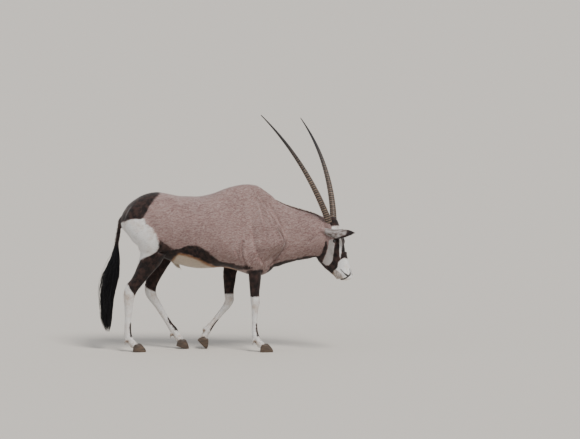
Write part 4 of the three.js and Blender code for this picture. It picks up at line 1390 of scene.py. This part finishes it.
TUFT = np.array([
    (815, -594, 15), (752, -603, 25), (694, -609, 35), (643, -620, 46), (586, -634, 57),
    (535, -645, 67), (477, -656, 63), (430, -666, 60), (369, -671, 52), (296, -673, 44),
    (224, -676, 37), (170, -674, 24), (130, -672, 10),
], float)[::-1]
TAIL_LOCKS, TAIL_CLUMPS = 1500, 46
TAIL_TOP = 838.0  # the locks grow below this height
GOLDEN_TURN = 2.399963


def tail_locks(steps=12):
    """Courses and widths of the tail's locks, in clumps that start one below the other."""
    n, clumps = TAIL_LOCKS, TAIL_CLUMPS
    clump = rng.integers(0, clumps, n)
    c_bearing = (np.arange(clumps) * GOLDEN_TURN) % (2 * np.pi)
    c_start = lerp(835, 340, (np.arange(clumps) / clumps) ** 1.3)
    c_reach = rng.uniform(0.8, 1.12, clumps)
    c_drop = rng.uniform(250, 430, clumps)
    c_curl = rng.uniform(-0.16, 0.16, clumps)
    c_phase = rng.uniform(0, 6, clumps)
    start = np.minimum(c_start[clump] + rng.normal(0, 22, n), TAIL_TOP)
    end = start - c_drop[clump] - rng.normal(0, 26, n)
    end = np.maximum(end, rng.uniform(132, 200, n))
    bearing = c_bearing[clump] + rng.normal(0, 0.2, n)
    reach = c_reach[clump] * rng.uniform(0.55, 1.0, n) ** 0.5
    stray = rng.random(n) < 0.05
    reach = np.where(stray, rng.uniform(1.0, 1.3, n), reach)
    bearing = np.where(stray, rng.normal(np.pi, 0.9, n), bearing)[:, None]
    t = np.linspace(0, 1, steps)[None]
    z = start[:, None] + (end - start)[:, None] * t
    middle, half = (np.interp(z, TUFT[:, 0], TUFT[:, i]) for i in (1, 2))
    spread = np.clip(0.3 + 1.1 * t, 0, 1) * reach[:, None]
    spread = spread + c_curl[clump][:, None] * t * np.sin(t * 5 + c_phase[clump][:, None])
    ripple = np.sin(t * rng.uniform(5, 11, n)[:, None] + rng.uniform(0, 6, n)[:, None])
    spread = half * (spread + 0.03 * ripple)
    x = middle + np.cos(bearing) * spread
    y = np.sin(bearing) * spread * 0.8
    taper = np.clip(1.15 - t**2.2, 0.12, 1) * np.clip(0.5 + 4 * t, 0, 1)
    width = rng.uniform(1.5, 3.2, n)[:, None] * taper
    return np.stack([x, y, z], -1), np.where(stray[:, None], 0.5 * width, width)


course, width = tail_locks()
piece = locks("tail_hair", course, width, hair_look.material)
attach(piece, "root")
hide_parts("tail_tuft")

# Mane: short upright locks along the crest that lean back.
mane_look = Nodes("mane", 0.7)
mane_look.colour(mane_look.mix(mane_look.value("tone"), MANE_DARK, MANE_LIGHT))
MANE_HAIRS = 1500


def mane_locks(steps=5):
    n = MANE_HAIRS
    crest = through(NECK[:-1], 40)
    base = crest[rng.integers(30, len(crest) - 12, n)]
    aside = rng.normal(0, 5, n)
    top = base[:, 2] + base[:, 4] - 5 - np.abs(aside) * 0.25
    tall = rng.uniform(12, 24, n)[:, None]
    lean = rng.uniform(0.5, 1.1, n)[:, None]
    t = np.linspace(0, 1, steps)[None]
    x = base[:, :1] - tall * lean * t**1.4
    y = base[:, 1:2] + aside[:, None] * (1 + 0.35 * t)
    z = top[:, None] + tall * t
    return np.stack([x, y, z], -1), 1.5 * np.clip(1.1 - t**2, 0.12, 1) * np.ones((n, 1))


course, width = mane_locks()
piece = locks("mane", course, width, mane_look.material)
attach(piece, "root")

# ---- Camera, floor and light
cam = bpy.data.cameras.new("camera")
cam.sensor_width = 36
cam.lens = 36 * CAMERA_RANGE / (PHOTO_SIZE[0] * MM_PER_PIXEL)
cam.clip_start, cam.clip_end = 0.5, 2000
cam_obj = bpy.data.objects.new("camera", cam)
bpy.context.scene.collection.objects.link(cam_obj)
cam_obj.location = place(CAMERA_AT)
cam_obj.rotation_mode = "QUATERNION"
cam_obj.rotation_quaternion = (-Vector(_back)).to_track_quat("-Z", "Y")
bpy.context.scene.camera = cam_obj

bpy.ops.mesh.primitive_plane_add(size=700, location=(0, 0, 0))
floor = bpy.context.object
floor.name = "floor"
floor_look = Nodes("floor", 0.9)
floor_look.set("Base Color", FLOOR)
floor.data.materials.append(floor_look.material)

world = bpy.data.worlds.new("world")
bpy.context.scene.world = world
world.use_nodes = True
sky = world.node_tree.nodes["Background"].inputs
sky["Color"].default_value, sky["Strength"].default_value = (0.84, 0.86, 0.9, 1), 0.62


def sun(name, towards, strength, spread, colour):
    """A soft light from far away, shining along the direction."""
    data = bpy.data.lights.new(name, "SUN")
    data.energy, data.angle, data.color = strength, math.radians(spread), colour
    obj = bpy.data.objects.new(name, data)
    bpy.context.scene.collection.objects.link(obj)
    obj.location = (0, 0, 5)
    obj.rotation_mode = "QUATERNION"
    obj.rotation_quaternion = Vector(towards).to_track_quat("-Z", "Y")


sun("key", (-0.35, 0.62, -0.9), 3.0, 22, (1.0, 0.97, 0.93))
sun("fill", (0.8, 0.45, -0.35), 0.5, 60, (0.94, 0.97, 1.0))
